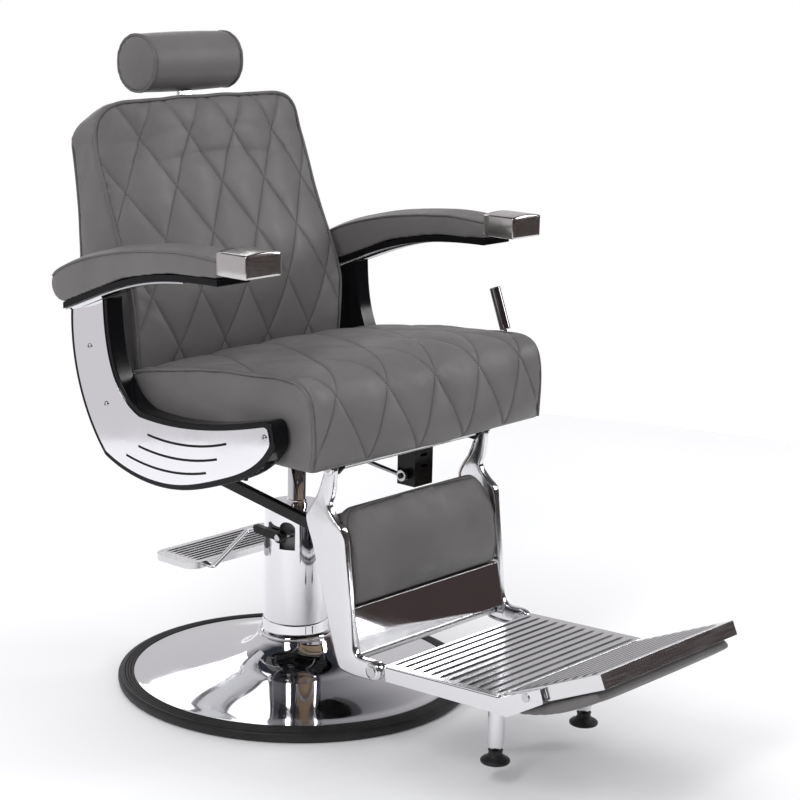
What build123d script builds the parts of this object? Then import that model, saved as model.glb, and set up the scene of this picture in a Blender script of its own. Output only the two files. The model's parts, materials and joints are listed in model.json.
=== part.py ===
"""Hydraulic barber chair, in millimetres.

The origin is on the floor at the centre of the round base and +Z is up.  The sitter faces -Y, so the
sitter's left is +X.  Side outlines are drawn on planes of constant X, as (y, z) points.
Every hinge of the seat group turns about an axis along X.
"""
import os
from math import atan2, cos, degrees, radians, sin, tan

from build123d import *

os.makedirs("parts", exist_ok=True)

# --- Base and pump ------------------------------------------------------------------------------
RING_R = 325.0            # outer radius of the rubber ring on the floor
RING_H = 23.0
RING_W = 31.0             # radial width of the rubber ring
RIDGE_R = 2.2             # half-round ridges on the ring's top
SHEET = 3.0               # spun steel of the base cover
DOME_RISE = 34.0          # rise of the base cover from its edge to the foot of its flare
COVER_R = 58.5            # outer radius of the column cover
COVER_WALL = 1.6
COVER_TOP = 333.0
COLLAR_Z = 96.0           # height of the collar at the top of the flare
COLLAR_W = 7.5            # how far the collar stands out from the cover
BAND_H = 20.0
BALLAST_H = 8.0
HUB_R = 76.0
HUB_TOP = 62.0
PUMP_R = 44.0
PUMP_FLANGE_R = 62.0
PUMP_FLANGE_H = 10.0
RAM_R = 16.7
RAM_FOOT = 112.0
STROKE_DOWN = 30.0        # travel left below the stored height
BOLT_R = 5.0
RUN = 0.05                # radial clearance of a shaft that turns or slides in its bore
AIR = 0.5                 # gap between pieces that pass each other

# --- Pedal --------------------------------------------------------------------------------------
PEDAL_Y = -26.0           # pedal axis, in front of the ram
PEDAL_Z = 290.0
PEDAL_SHAFT_R = 6.5
WINDOW_W = 26.0           # arched windows of the cover around the pedal shaft
WINDOW_BOTTOM = 262.0
WINDOW_TOP = 314.0
PEDAL_LEVER_T = 12.0
PEDAL_LEVER_GAP = 3.5     # between the column cover and each black pedal lever
PEDAL_LEVER_X = COVER_R + PEDAL_LEVER_GAP + PEDAL_LEVER_T / 2
PEDAL_LEVER_Y = 36.0      # rear end of the levers
PEDAL_ROD_R = 5.0
PEDAL_HALF_W = 150.0
PEDAL_PLATE_Y = 118.0     # front edge of the tread
PEDAL_PLATE_D = 108.0
PEDAL_PLATE_Z = 224.0
PEDAL_PLATE_T = 3.0
PEDAL_LIP = 9.0
PEDAL_ROD_X = 108.0       # where the rods meet the tread

# --- Seat frame ---------------------------------------------------------------------------------
SEAT_BOTTOM = 498.0       # underside of the upholstered seat
BOARD_T = 14.0
RAIL_X = 150.0            # outer face of the frame's side rails
RAIL_W = 30.0
RAIL_H = 26.0
RAIL_FRONT = -222.0
RAIL_REAR = 112.0
CROSS_H = 14.0            # height of the flat crossbars between the rails
PLATE_T = 8.0
HUB_PLATE_W = 112.0
HUB_PLATE_L = 190.0
SOCKET_R = 34.0
SOCKET_DEPTH = 34.0

# --- Upholstery ---------------------------------------------------------------------------------
SEAT_HALF_W = 289.0
SEAT_FRONT = -319.0
SEAT_REAR = 126.0
SEAT_FRONT_H = 143.0      # height of the seat cushion at its front
SEAT_REAR_H = 106.0
SEAT_EDGE_R = 14.0
BACK_HALF_W = 261.0
BACK_BOTTOM = 564.0
BACK_TOP = 1054.0
BACK_TILT = 8.5           # lean of the back's board and of the headrest stem, in degrees
BOARD_Y = 200.0           # front of the back board at its foot
BOARD_Z = 575.0
BACK_BOARD_H = 395.0
BACK_BOARD_T = 12.0
BACK_WALL = 19.0          # padded rear and side walls around the back's cavity
HEAD_R = 54.0
HEAD_HALF_W = 109.0
HEAD_Y = 306.0
HEAD_Z = 1109.5
STEM_W = 32.0
STEM_T = 6.0
STEM_FOOT = 215.0         # length of stem below the headrest's centre
SOCKET_WALL = 3.0
SOCKET_TOP = 112.0        # from the headrest's centre down to the socket's mouth
SOCKET_L = 98.0

# --- Side panels and armrests -------------------------------------------------------------------
PANEL_IN = 296.0          # inner face of the side panels
PANEL_T = 35.0
FACE_T = 2.0              # polished facing plate
FACE_INSET = 10.0         # black border left around the facing
SLOT_W = 4.0
SCREW_R = 4.6
ARM_IN = 293.0            # inner side of the armrest pads
ARM_OUT = 373.0
ARM_BOARD_T = 12.0
ARM_STRAP_T = 3.0
STRAP_FRONT = -90.0
CAP_FRONT = -244.0
CAP_REAR = -176.0
CAP_BOTTOM = 812.0
CAP_TOP = 855.0

# --- Recline, legrest and links -----------------------------------------------------------------
RECLINE_Y = 165.0
RECLINE_Z = 530.0
TUBE_R = 12.0
STRAP_T = 6.0
STRAP_X = 193.0           # middle plane of the back's straps
HINGE_T = 6.0
HINGE_X = 202.0           # middle plane of the seat's hinge plates
PIN_R = 8.0
TAIL_Y = 150.0            # link pin on the tail of the back's strap
TAIL_Z = 436.0
KNEE_Y = -243.0           # link pin on the legrest arm
KNEE_Z = 370.0
LINK_X = -182.0
LINK_T = 12.0
LINK_W = 20.0
LINK_PIN_R = 6.0
LEG_Y = -266.0            # legrest shaft
LEG_Z = 484.0
LEG_SHAFT_R = 6.0
LEG_ARM_IN = 190.0
LEG_ARM_T = 13.0
EAR_X = 178.0
EAR_T = 7.0
CALF_HALF_W = 187.0
LOCK_X = 75.0             # plane of the recline lock
LOCK_Y = -186.0           # its front pivot
LOCK_Z = 408.0
LOCK_TAIL_Y = 155.0       # its rear pivot
LOCK_TAIL_Z = 450.0
LOCK_ROD_R = 4.0
LOCK_CYL_R = 11.0
LOCK_BOX_W = 48.0
LOCK_BOX_D = 41.0
LOCK_BOX_BOTTOM = 388.0
LEVER_Y = -225.0          # recline lever's pivot
LEVER_Z = 552.0
LEVER_LEAN = 20.5         # degrees from upright, leaning back
LEVER_GAP = 12.0          # from the facing plate to the middle plane of the lever
LEVER_X = PANEL_IN + PANEL_T + FACE_T + LEVER_GAP
KNOB_R = 10.0
KNOB_L = 80.0
KNOB_START = 90.0         # from the pivot to the knob's foot

# --- Footrest -----------------------------------------------------------------------------------
FOOT_Y = -371.0           # footplate hinge
FOOT_Z = 161.0
FOOT_PIN_R = 6.0
TREAD_REAR = -391.0
TREAD_REAR_Z = 174.0
TREAD_TILT = 2.9          # degrees, front up
TREAD_L = 237.0
TREAD_T = 3.0
RIB_PITCH = 19.5
RIB_H = 2.2
RIB_MARGIN = 13.0
RAIL_IN = 184.0
RAIL_OUT = 196.0
FOOT_RAIL_H = 26.0
TOE_Y = -682.0            # toe flap hinge
TOE_Z = 198.0
TOE_TILT = 23.8           # degrees, front up
TOE_PIN_R = 5.0
TOE_L = 197.0
TOE_END_R = 33.0          # rounded end of each rail about the toe hinge
TOE_LIP = 24.0
TOE_HALF_W = 190.0
TOE_TAPER = 9.0           # how much each side draws in towards the front
TOE_PAD_T = 22.0
LEG_POST_X = 119.5
LEG_POST_Y = -567.0
LEG_POST_R = 13.5
LEG_POST_FOOT = 62.0
PAD_R = 24.5
PAD_FOOT = 36.0
PAD_H = 12.0
STUD_R = 5.0


def side_plane(x):
    """Plane of constant x, sketched in (y, z)."""
    return Plane.YZ.offset(x)


def slab(x_low, x_high, *corners):
    """Adds a prism between two x planes; its outline is a polygon of (y, z) corners."""
    with BuildSketch(side_plane(x_low)) as outline:
        with BuildLine():
            Polyline(*corners, close=True)
        make_face()
    extrude(outline.sketch, amount=x_high - x_low)


def bar(x_low, x_high, y, z, radius, mode=Mode.ADD):
    """Adds or cuts a round bar along X."""
    with BuildSketch(side_plane(x_low)) as outline:
        with Locations((y, z)):
            Circle(radius)
    extrude(outline.sketch, amount=x_high - x_low, mode=mode)


def save(piece, name):
    piece.part.label = name
    export_step(piece.part, f"parts/{name}.step")


# ================================================================================================
# Base
# ================================================================================================
BASE_R = RING_R - RING_W + 2 * AIR
EDGE_Z = 15.0
FLARE_FOOT_R = 2.1 * COVER_R
FLARE_FOOT_Z = EDGE_Z + DOME_RISE
COLLAR_R = COVER_R + COLLAR_W


def dome_line(drop):
    """The base cover's section, as points from the edge to the collar, lowered by the sheet."""
    return [
        (BASE_R, EDGE_Z - drop),
        ((BASE_R + FLARE_FOOT_R) / 2, (EDGE_Z + FLARE_FOOT_Z) / 2 + 3 - drop),
        (FLARE_FOOT_R, FLARE_FOOT_Z - drop),
        ((FLARE_FOOT_R + 2 * COLLAR_R) / 3, FLARE_FOOT_Z + 17 - drop * 0.7),
        (COLLAR_R - drop, COLLAR_Z - 4),
    ]


with BuildPart() as base_plate:
    with BuildSketch(Plane.XZ):
        with BuildLine():
            top_line = Spline(*dome_line(0))
            low_line = Spline(*dome_line(SHEET))
            Line(top_line @ 0, low_line @ 0)
            Line(top_line @ 1, low_line @ 1)
        make_face()
    revolve(axis=Axis.Z)
save(base_plate, "base_plate")

with BuildPart() as base_rubber_ring:
    with BuildSketch(Plane.XZ):
        ring_in = RING_R - RING_W
        with BuildLine():
            Polyline((ring_in - 12, 0), (RING_R - 6, 0), (RING_R, 8), (RING_R, 14), (RING_R - 9, RING_H))
            Line((RING_R - 9, RING_H), (ring_in + 2, RING_H))
            Polyline(
                (ring_in + 2, RING_H), (ring_in + 2, EDGE_Z - SHEET - 1),
                (ring_in - 12, EDGE_Z - SHEET - 1), (ring_in - 12, 0),
            )
        make_face()
        with Locations(*[(ring_in + 6 + 5.4 * i, RING_H) for i in range(3)]):
            Circle(RIDGE_R)
    revolve(axis=Axis.Z)
save(base_rubber_ring, "base_rubber_ring")

with BuildPart() as base_ballast:
    with BuildSketch(Plane.XY):
        Circle(RING_R - RING_W - 14)
    extrude(amount=BALLAST_H)
    with BuildSketch(Plane.XY.offset(BALLAST_H)):
        Circle(HUB_R)
    extrude(amount=HUB_TOP - BALLAST_H, taper=4)
    with BuildSketch(Plane.XY.offset(HUB_TOP)):
        with PolarLocations((PUMP_R + PUMP_FLANGE_R) / 2, 4, start_angle=45):
            Circle(BOLT_R)
    extrude(amount=-20, mode=Mode.SUBTRACT)
save(base_ballast, "base_ballast")

PUMP_TOP = COVER_TOP - COVER_WALL - AIR
with BuildPart() as pump_body:
    with BuildSketch(Plane.XY.offset(HUB_TOP)):
        Circle(PUMP_FLANGE_R)
    extrude(amount=PUMP_FLANGE_H)
    with BuildSketch(Plane.XY.offset(HUB_TOP + PUMP_FLANGE_H)):
        Circle(PUMP_R)
    extrude(amount=PUMP_TOP - HUB_TOP - PUMP_FLANGE_H)
    with BuildSketch(Plane.XY.offset(RAM_FOOT - STROKE_DOWN - 4)):
        Circle(RAM_R + RUN)
    extrude(amount=PUMP_TOP, mode=Mode.SUBTRACT)
    with BuildSketch(Plane.XY.offset(HUB_TOP)):
        with PolarLocations((PUMP_R + PUMP_FLANGE_R) / 2, 4, start_angle=45):
            Circle(BOLT_R)
    extrude(amount=PUMP_FLANGE_H, mode=Mode.SUBTRACT)
    bar(-PUMP_R, PUMP_R, PEDAL_Y, PEDAL_Z, PEDAL_SHAFT_R + RUN, Mode.SUBTRACT)
save(pump_body, "pump_body")

with BuildPart() as pump_bolts:
    with BuildSketch(Plane.XY.offset(HUB_TOP - 20)):
        with PolarLocations((PUMP_R + PUMP_FLANGE_R) / 2, 4, start_angle=45):
            Circle(BOLT_R - 0.1)
    extrude(amount=20 + PUMP_FLANGE_H)
    with BuildSketch(Plane.XY.offset(HUB_TOP + PUMP_FLANGE_H)):
        with PolarLocations((PUMP_R + PUMP_FLANGE_R) / 2, 4, start_angle=45):
            RegularPolygon(1.6 * BOLT_R, 6)
    extrude(amount=BOLT_R)
save(pump_bolts, "pump_bolts")

with BuildPart() as column_cover:
    with BuildSketch(Plane.XZ):
        cover_in = COVER_R - COVER_WALL
        with BuildLine():
            Polyline(
                (cover_in, COLLAR_Z - 6), (COVER_R, COLLAR_Z - 6), (COVER_R, COVER_TOP - COVER_WALL),
                (cover_in, COVER_TOP), (RAM_R + 1, COVER_TOP), (RAM_R + 1, COVER_TOP - COVER_WALL),
                (cover_in, COVER_TOP - COVER_WALL), close=True,
            )
        make_face()
    revolve(axis=Axis.Z)
    window_r = WINDOW_W / 2
    with BuildSketch(side_plane(-COVER_R - 1)):
        with Locations((PEDAL_Y, WINDOW_TOP - window_r)):
            Circle(window_r)
        with Locations((PEDAL_Y, (WINDOW_BOTTOM + WINDOW_TOP - window_r) / 2)):
            Rectangle(WINDOW_W, WINDOW_TOP - window_r - WINDOW_BOTTOM)
    extrude(amount=2 * COVER_R + 2, mode=Mode.SUBTRACT)
save(column_cover, "column_cover")

with BuildPart() as column_collar:
    with BuildSketch(Plane.XZ):
        collar_in = COVER_R + 0.1
        with BuildLine():
            Polyline(
                (collar_in, COLLAR_Z - 3.8), (COLLAR_R, COLLAR_Z - 3.8), (COLLAR_R + 1.5, COLLAR_Z),
                (COLLAR_R - 1, COLLAR_Z + 3.5), (collar_in + 1.4, COLLAR_Z + 5),
                (collar_in + 1.4, COLLAR_Z + 5 + BAND_H), (collar_in, COLLAR_Z + 6 + BAND_H), close=True,
            )
        make_face()
    revolve(axis=Axis.Z)
save(column_collar, "column_collar")

SEAL_R = 20.0
SEAL_H = 11.0
with BuildPart() as dust_seal:
    with BuildSketch(Plane.XY.offset(COVER_TOP)):
        Circle(SEAL_R)
        with PolarLocations(SEAL_R + 1, 2, start_angle=20):
            Circle(3.5)
    extrude(amount=SEAL_H * 0.45)
    with BuildSketch(Plane.XY.offset(COVER_TOP + SEAL_H * 0.45)):
        Circle(SEAL_R - 1.5)
    extrude(amount=SEAL_H * 0.55)
    fillet(dust_seal.faces().sort_by(Axis.Z)[-1].edges(), 1.2)
    with BuildSketch(Plane.XY.offset(COVER_TOP)):
        Circle(RAM_R + 0.4)
    extrude(amount=SEAL_H, mode=Mode.SUBTRACT)
save(dust_seal, "dust_seal")

# ================================================================================================
# Pedal
# ================================================================================================
with BuildPart() as pedal_shaft:
    bar(-PEDAL_LEVER_X - 10, PEDAL_LEVER_X + 10, PEDAL_Y, PEDAL_Z, PEDAL_SHAFT_R)
    chamfer(pedal_shaft.faces().filter_by(Axis.X).edges(), 1)
save(pedal_shaft, "pedal_shaft")

LEVER_REAR_Z = PEDAL_Z + 4
LEVER_HUB_R = 11.0
with BuildPart() as pedal_levers:
    lever_low = PEDAL_LEVER_X - PEDAL_LEVER_T / 2
    bar(lever_low, lever_low + PEDAL_LEVER_T, PEDAL_Y, PEDAL_Z, LEVER_HUB_R)
    slab(
        lever_low, lever_low + PEDAL_LEVER_T,
        (PEDAL_Y, PEDAL_Z - 7), (PEDAL_LEVER_Y, LEVER_REAR_Z - 7),
        (PEDAL_LEVER_Y, LEVER_REAR_Z + 7), (PEDAL_Y, PEDAL_Z + 7),
    )
    bar(lever_low, lever_low + PEDAL_LEVER_T, PEDAL_Y, PEDAL_Z, PEDAL_SHAFT_R + 0.1, Mode.SUBTRACT)
    mirror(about=Plane.YZ)
save(pedal_levers, "pedal_levers")

PEDAL_ROD_Z = PEDAL_PLATE_Z - PEDAL_PLATE_T - PEDAL_ROD_R - 0.2
with BuildPart() as pedal_rods:
    with BuildLine():
        rod_path = FilletPolyline(
            (PEDAL_LEVER_X, PEDAL_LEVER_Y + 1.8, LEVER_REAR_Z),
            (PEDAL_LEVER_X, PEDAL_LEVER_Y + 18, LEVER_REAR_Z - 6),
            (PEDAL_ROD_X, PEDAL_PLATE_Y - 14, PEDAL_ROD_Z),
            (PEDAL_ROD_X, PEDAL_PLATE_Y + 60, PEDAL_ROD_Z),
            radius=9,
        )
    with BuildSketch(Plane(origin=rod_path @ 0, z_dir=rod_path % 0)):
        Circle(PEDAL_ROD_R)
    sweep()
    mirror(about=Plane.YZ)
save(pedal_rods, "pedal_rods")

with BuildPart() as pedal_plate:
    plate_mid = PEDAL_PLATE_Y + PEDAL_PLATE_D / 2
    with BuildSketch(Plane.XY.offset(PEDAL_PLATE_Z)):
        with Locations((0, plate_mid)):
            RectangleRounded(2 * PEDAL_HALF_W, PEDAL_PLATE_D, 26)
    extrude(amount=-PEDAL_PLATE_T)
    with BuildSketch(Plane.XY.offset(PEDAL_PLATE_Z - PEDAL_PLATE_T)):
        with Locations((0, plate_mid)):
            RectangleRounded(2 * PEDAL_HALF_W, PEDAL_PLATE_D, 26)
            RectangleRounded(2 * PEDAL_HALF_W - 5, PEDAL_PLATE_D - 5, 23.5, mode=Mode.SUBTRACT)
    extrude(amount=-PEDAL_LIP)
    with BuildSketch(Plane.XZ.offset(-PEDAL_PLATE_Y + 8)):
        with Locations((-PEDAL_ROD_X, PEDAL_ROD_Z), (PEDAL_ROD_X, PEDAL_ROD_Z)):
            Circle(PEDAL_ROD_R + 1)
            with Locations((0, -PEDAL_LIP)):
                Rectangle(2 * PEDAL_ROD_R + 2, 2 * PEDAL_LIP)
    extrude(amount=-20, mode=Mode.SUBTRACT)
    with BuildSketch(Plane.XY.offset(PEDAL_PLATE_Z)):
        with GridLocations(0, 11, 1, 8):
            with Locations((0, plate_mid)):
                SlotOverall(2 * PEDAL_HALF_W - 44, 4)
    extrude(amount=1.6)
save(pedal_plate, "pedal_plate")

# ================================================================================================
# Ram and seat frame
# ================================================================================================
FRAME_TOP = SEAT_BOTTOM
FRAME_LOW = FRAME_TOP - RAIL_H
HUB_LOW = FRAME_TOP - CROSS_H - PLATE_T
with BuildPart() as piston_ram:
    with BuildSketch(Plane.XY.offset(RAM_FOOT)):
        Circle(RAM_R)
    extrude(amount=HUB_LOW - 2 - RAM_FOOT)
    chamfer(piston_ram.faces().filter_by(Axis.Z).edges(), 1)
save(piston_ram, "piston_ram")

with BuildPart() as seat_hub:
    with BuildSketch(Plane.XY.offset(HUB_LOW)):
        RectangleRounded(HUB_PLATE_W, HUB_PLATE_L, 12)
    extrude(amount=PLATE_T)
    with BuildSketch(Plane.XY.offset(HUB_LOW)):
        Circle(SOCKET_R + 5)
    extrude(amount=-SOCKET_DEPTH, taper=7)
    with BuildSketch(Plane.XY.offset(HUB_LOW - SOCKET_DEPTH)):
        Circle(RAM_R + RUN)
    extrude(amount=SOCKET_DEPTH - 1, mode=Mode.SUBTRACT)
save(seat_hub, "seat_hub")

with BuildPart() as frame_rails:
    with BuildSketch(Plane.XY.offset(FRAME_LOW)):
        with Locations((RAIL_X - RAIL_W / 2, (RAIL_FRONT + RAIL_REAR) / 2)):
            Rectangle(RAIL_W, RAIL_REAR - RAIL_FRONT)
    extrude(amount=RAIL_H)
    with BuildSketch(Plane.XZ.offset(-RAIL_REAR)):
        with Locations((RAIL_X - RAIL_W / 2, FRAME_LOW + RAIL_H / 2)):
            Rectangle(RAIL_W - 5, RAIL_H - 5)
    extrude(amount=RAIL_REAR - RAIL_FRONT, mode=Mode.SUBTRACT)
    mirror(about=Plane.YZ)
save(frame_rails, "frame_rails")

with BuildPart() as frame_crossbars:
    cross_x = RAIL_X - RAIL_W
    for cross_y in (RAIL_FRONT + 18, -70, 40):
        with BuildSketch(Plane.XY.offset(FRAME_TOP)):
            with Locations((0, cross_y)):
                Rectangle(2 * cross_x, 30)
        extrude(amount=-CROSS_H)
save(frame_crossbars, "frame_crossbars")

BRACKET_Z = FRAME_TOP - 12
with BuildPart() as side_brackets:
    for bracket_y in (-140, 10):
        with BuildSketch(Plane.XY.offset(BRACKET_Z)):
            with Locations(((RAIL_X + PANEL_IN) / 2, bracket_y)):
                Rectangle(PANEL_IN - RAIL_X, 56)
        extrude(amount=6)
        with BuildSketch(side_plane(PANEL_IN)):
            with Locations((bracket_y, BRACKET_Z - 12)):
                Rectangle(56, 24)
        extrude(amount=-6)
    mirror(about=Plane.YZ)
save(side_brackets, "side_brackets")

HINGE_BOSS_R = 21.0
with BuildPart() as hinge_plates:
    hinge_low = HINGE_X - HINGE_T / 2
    slab(
        hinge_low, hinge_low + HINGE_T,
        (-16, BRACKET_Z - 14), (-16, BRACKET_Z), (39, BRACKET_Z), (44, FRAME_TOP - 1),
        (SEAT_REAR + 6, FRAME_TOP - 1),
        (RECLINE_Y - HINGE_BOSS_R + 1, RECLINE_Z), (RECLINE_Y, RECLINE_Z + HINGE_BOSS_R - 1),
        (RECLINE_Y + HINGE_BOSS_R - 1, RECLINE_Z), (RECLINE_Y + 4, RECLINE_Z - 40), (60, BRACKET_Z - 14),
    )
    bar(hinge_low, hinge_low + HINGE_T, RECLINE_Y, RECLINE_Z, HINGE_BOSS_R)
    bar(hinge_low, hinge_low + HINGE_T, RECLINE_Y, RECLINE_Z, PIN_R + RUN, Mode.SUBTRACT)
    mirror(about=Plane.YZ)
save(hinge_plates, "hinge_plates")

with BuildPart() as legrest_ears:
    ear_low = EAR_X - EAR_T / 2
    slab(
        ear_low, ear_low + EAR_T,
        (LEG_Y - 4, FRAME_TOP), (LEG_Y - 12, LEG_Z), (LEG_Y, LEG_Z - 13), (LEG_Y + 26, FRAME_LOW),
        (LEG_Y + 96, FRAME_LOW), (LEG_Y + 96, FRAME_TOP),
    )
    with BuildSketch(Plane.XY.offset(FRAME_LOW + 6)):
        with Locations(((RAIL_X + ear_low) / 2, LEG_Y + 76)):
            Rectangle(ear_low - RAIL_X, 38)
    extrude(amount=RAIL_H - 8)
    bar(ear_low, ear_low + EAR_T, LEG_Y, LEG_Z, LEG_SHAFT_R + RUN, Mode.SUBTRACT)
    mirror(about=Plane.YZ)
save(legrest_ears, "legrest_ears")

LOCK_BOX_X = LOCK_X + LOCK_ROD_R + 6
with BuildPart() as lock_bracket:
    box_mid = (LOCK_BOX_X + LOCK_BOX_W / 2, LOCK_Y)
    with BuildSketch(Plane.XY.offset(LOCK_BOX_BOTTOM)):
        with Locations(box_mid):
            Rectangle(LOCK_BOX_W, LOCK_BOX_D)
            Rectangle(LOCK_BOX_W - 6, LOCK_BOX_D - 6, mode=Mode.SUBTRACT)
    extrude(amount=FRAME_LOW - LOCK_BOX_BOTTOM)
    with BuildSketch(Plane.XZ.offset(-LOCK_Y + LOCK_BOX_D / 2 + 1)):
        with Locations(*[(box_mid[0], LOCK_BOX_BOTTOM + 16 + 20 * i) for i in range(4)]):
            SlotOverall(18, 5)
    extrude(amount=-6, mode=Mode.SUBTRACT)
    with BuildSketch(Plane.XY.offset(FRAME_LOW)):
        with Locations(((LOCK_BOX_X + RAIL_X) / 2, LOCK_Y)):
            Rectangle(RAIL_X - LOCK_BOX_X, LOCK_BOX_D)
    extrude(amount=-4)
    bar(LOCK_X - LOCK_ROD_R - 3, LOCK_BOX_X + 3, LOCK_Y, LOCK_Z, LINK_PIN_R - 1)
save(lock_bracket, "lock_bracket")

with BuildPart() as seat_board:
    with BuildSketch(Plane.XY.offset(SEAT_BOTTOM)):
        with Locations((0, (SEAT_FRONT + SEAT_REAR) / 2)):
            RectangleRounded(2 * SEAT_HALF_W - 44, SEAT_REAR - SEAT_FRONT - 44, 20)
    extrude(amount=BOARD_T)
save(seat_board, "seat_board")

SEAT_MID = (SEAT_FRONT + SEAT_REAR) / 2
SEAT_TOP_FRONT = SEAT_BOTTOM + SEAT_FRONT_H
SEAT_TOP_REAR = SEAT_BOTTOM + SEAT_REAR_H
with BuildPart() as seat_cushion:
    with BuildSketch(side_plane(-SEAT_HALF_W)):
        with BuildLine():
            crown = Spline(
                (SEAT_REAR, SEAT_TOP_REAR), (SEAT_MID + 70, SEAT_TOP_FRONT - 17),
                (SEAT_MID - 60, SEAT_TOP_FRONT - 1), (SEAT_FRONT + 42, SEAT_TOP_FRONT + 4),
            )
            nose = Spline(
                crown @ 1, (SEAT_FRONT + 9, SEAT_TOP_FRONT - 22), (SEAT_FRONT - 2, SEAT_TOP_FRONT - 82),
                tangents=(crown % 1, (0, -1)),
            )
            Polyline(nose @ 1, (SEAT_FRONT + 3, SEAT_BOTTOM), (SEAT_REAR, SEAT_BOTTOM), crown @ 0)
        make_face()
    extrude(amount=2 * SEAT_HALF_W)
    fillet(seat_cushion.faces().filter_by(Axis.X).edges(), SEAT_EDGE_R)
    with BuildSketch(Plane.XY.offset(SEAT_BOTTOM)):
        with Locations((0, SEAT_MID)):
            RectangleRounded(2 * SEAT_HALF_W - 42, SEAT_REAR - SEAT_FRONT - 42, 21)
    extrude(amount=BOARD_T, mode=Mode.SUBTRACT)
save(seat_cushion, "seat_cushion")

# ================================================================================================
# Side panels and armrests
# ================================================================================================
ARM_FOOT = (205, 721)     # lowest point of the armrest pad, over the panel


def arm_line(drop):
    """The underside of an armrest pad, lowered, as points from front to rear."""
    points = [(CAP_REAR, 806), (-92, 803), (4, 790), (104, 760), (156, 740), ARM_FOOT]
    return [(y, z - drop) for y, z in points]


PANEL_TOP = [(ARM_FOOT[0] - 4, ARM_FOOT[1] - ARM_BOARD_T - 1.5)]


def panel_outline(inset=0.0):
    """Draws the side panel's outline, a thick hook that sweeps from the armrest to the seat's front.

    With an inset, every edge but the top is drawn that far inside.
    """
    i = inset
    rear = Spline((231 - i, 706), (224 - i, 611), (190 - 0.9 * i, 519 + 0.4 * i), (144 - 0.5 * i, 455 + 0.9 * i))
    bottom = Spline(
        rear @ 1, (53, 428 + i), (-47, 429 + i), (-143 + 0.3 * i, 456 + i),
        (-236 + 0.6 * i, 503 + 0.8 * i), (-262 + 0.9 * i, 532 + 0.4 * i),
    )
    nose = Spline(
        bottom @ 1, (-266 + i, 560), (-246 + 0.2 * i, 582 - i), tangents=(bottom % 1, (1, -0.15))
    )
    top = Spline(nose @ 1, (-143, 559 - i), (-47, 547 - i), (44 + 0.8 * i, 549 - i))
    front = Spline(top @ 1, (97 + 0.8 * i, 585 - 0.6 * i), (125 + i, 650), (134 + i, 732 - 0.3 * i))
    Polyline(front @ 1, *PANEL_TOP, rear @ 0)


with BuildPart() as side_cores:
    with BuildSketch(side_plane(PANEL_IN)):
        with BuildLine():
            panel_outline()
        make_face()
    extrude(amount=PANEL_T)
    mirror(about=Plane.YZ)
save(side_cores, "side_cores")

FACE_X = PANEL_IN + PANEL_T
SLOT_LINES = (
    ((32, 512), (-62, 510), (-160, 530)),
    ((55, 488), (-40, 483), (-138, 500)),
    ((86, 467), (-12, 457), (-112, 472)),
)
with BuildPart() as side_plates:
    with BuildSketch(side_plane(FACE_X)):
        with BuildLine():
            panel_outline(FACE_INSET)
        make_face()
    extrude(amount=FACE_T)
    for slot_line in SLOT_LINES:
        with BuildSketch(side_plane(FACE_X)):
            with BuildLine():
                ThreePointArc(*slot_line)
            trace(line_width=SLOT_W)
        extrude(amount=FACE_T, mode=Mode.SUBTRACT)
    mirror(about=Plane.YZ)
save(side_plates, "side_plates")

SCREW_POINTS = ((178, 643), (136, 548), (-247, 556))
with BuildPart() as side_screws:
    for screw_y, screw_z in SCREW_POINTS:
        bar(FACE_X + FACE_T, FACE_X + FACE_T + 2.5, screw_y, screw_z, SCREW_R)
    fillet(side_screws.faces().filter_by(Axis.X).edges(), 0.8)
    mirror(about=Plane.YZ)
save(side_screws, "side_screws")

with BuildPart() as arm_boards:
    with BuildSketch(side_plane(ARM_IN + 3)):
        with BuildLine():
            board_top = Spline(*arm_line(0))
            board_low = Spline(*arm_line(ARM_BOARD_T))
            Line(board_top @ 0, board_low @ 0)
            Line(board_top @ 1, board_low @ 1)
        make_face()
    extrude(amount=ARM_OUT - ARM_IN - 6)
    mirror(about=Plane.YZ)
save(arm_boards, "arm_boards")

with BuildPart() as arm_straps:
    with BuildSketch(side_plane(FACE_X + 3)):
        with BuildLine():
            strap_top = Spline(*arm_line(ARM_BOARD_T))
            strap_low = Spline(*arm_line(ARM_BOARD_T + ARM_STRAP_T))
            Line(strap_top @ 0, strap_low @ 0)
            Line(strap_top @ 1, strap_low @ 1)
        make_face()
    extrude(amount=30)
    split(bisect_by=Plane.XZ.offset(-STRAP_FRONT), keep=Keep.BOTTOM)
    mirror(about=Plane.YZ)
save(arm_straps, "arm_straps")


with BuildPart() as arm_pads:
    with BuildSketch(side_plane(ARM_IN)):
        with BuildLine():
            pad_low = Spline(*arm_line(0))
            pad_crown = Spline((CAP_REAR, 843), (-90, 845), (6, 837), (106, 819), (205, 788), (236, 772))
            Line(pad_low @ 0, pad_crown @ 0)
            Spline(pad_crown @ 1, (247, 753), (231, 731), pad_low @ 1, tangents=(pad_crown % 1, (-1, 0.25)))
        make_face()
    extrude(amount=ARM_OUT - ARM_IN)
    mirror(about=Plane.YZ)
save(arm_pads, "arm_pads")

with BuildPart() as arm_caps:
    with BuildSketch(Plane.XY.offset(CAP_BOTTOM)):
        with Locations(((ARM_IN + ARM_OUT) / 2, (CAP_FRONT + CAP_REAR) / 2)):
            Rectangle(ARM_OUT - ARM_IN + 1, CAP_REAR - CAP_FRONT)
    extrude(amount=CAP_TOP - CAP_BOTTOM)
    fillet(arm_caps.edges().filter_by(Axis.Z) + arm_caps.faces().sort_by(Axis.Z)[-1].edges(), 2.5)
    mirror(about=Plane.YZ)
save(arm_caps, "arm_caps")

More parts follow.
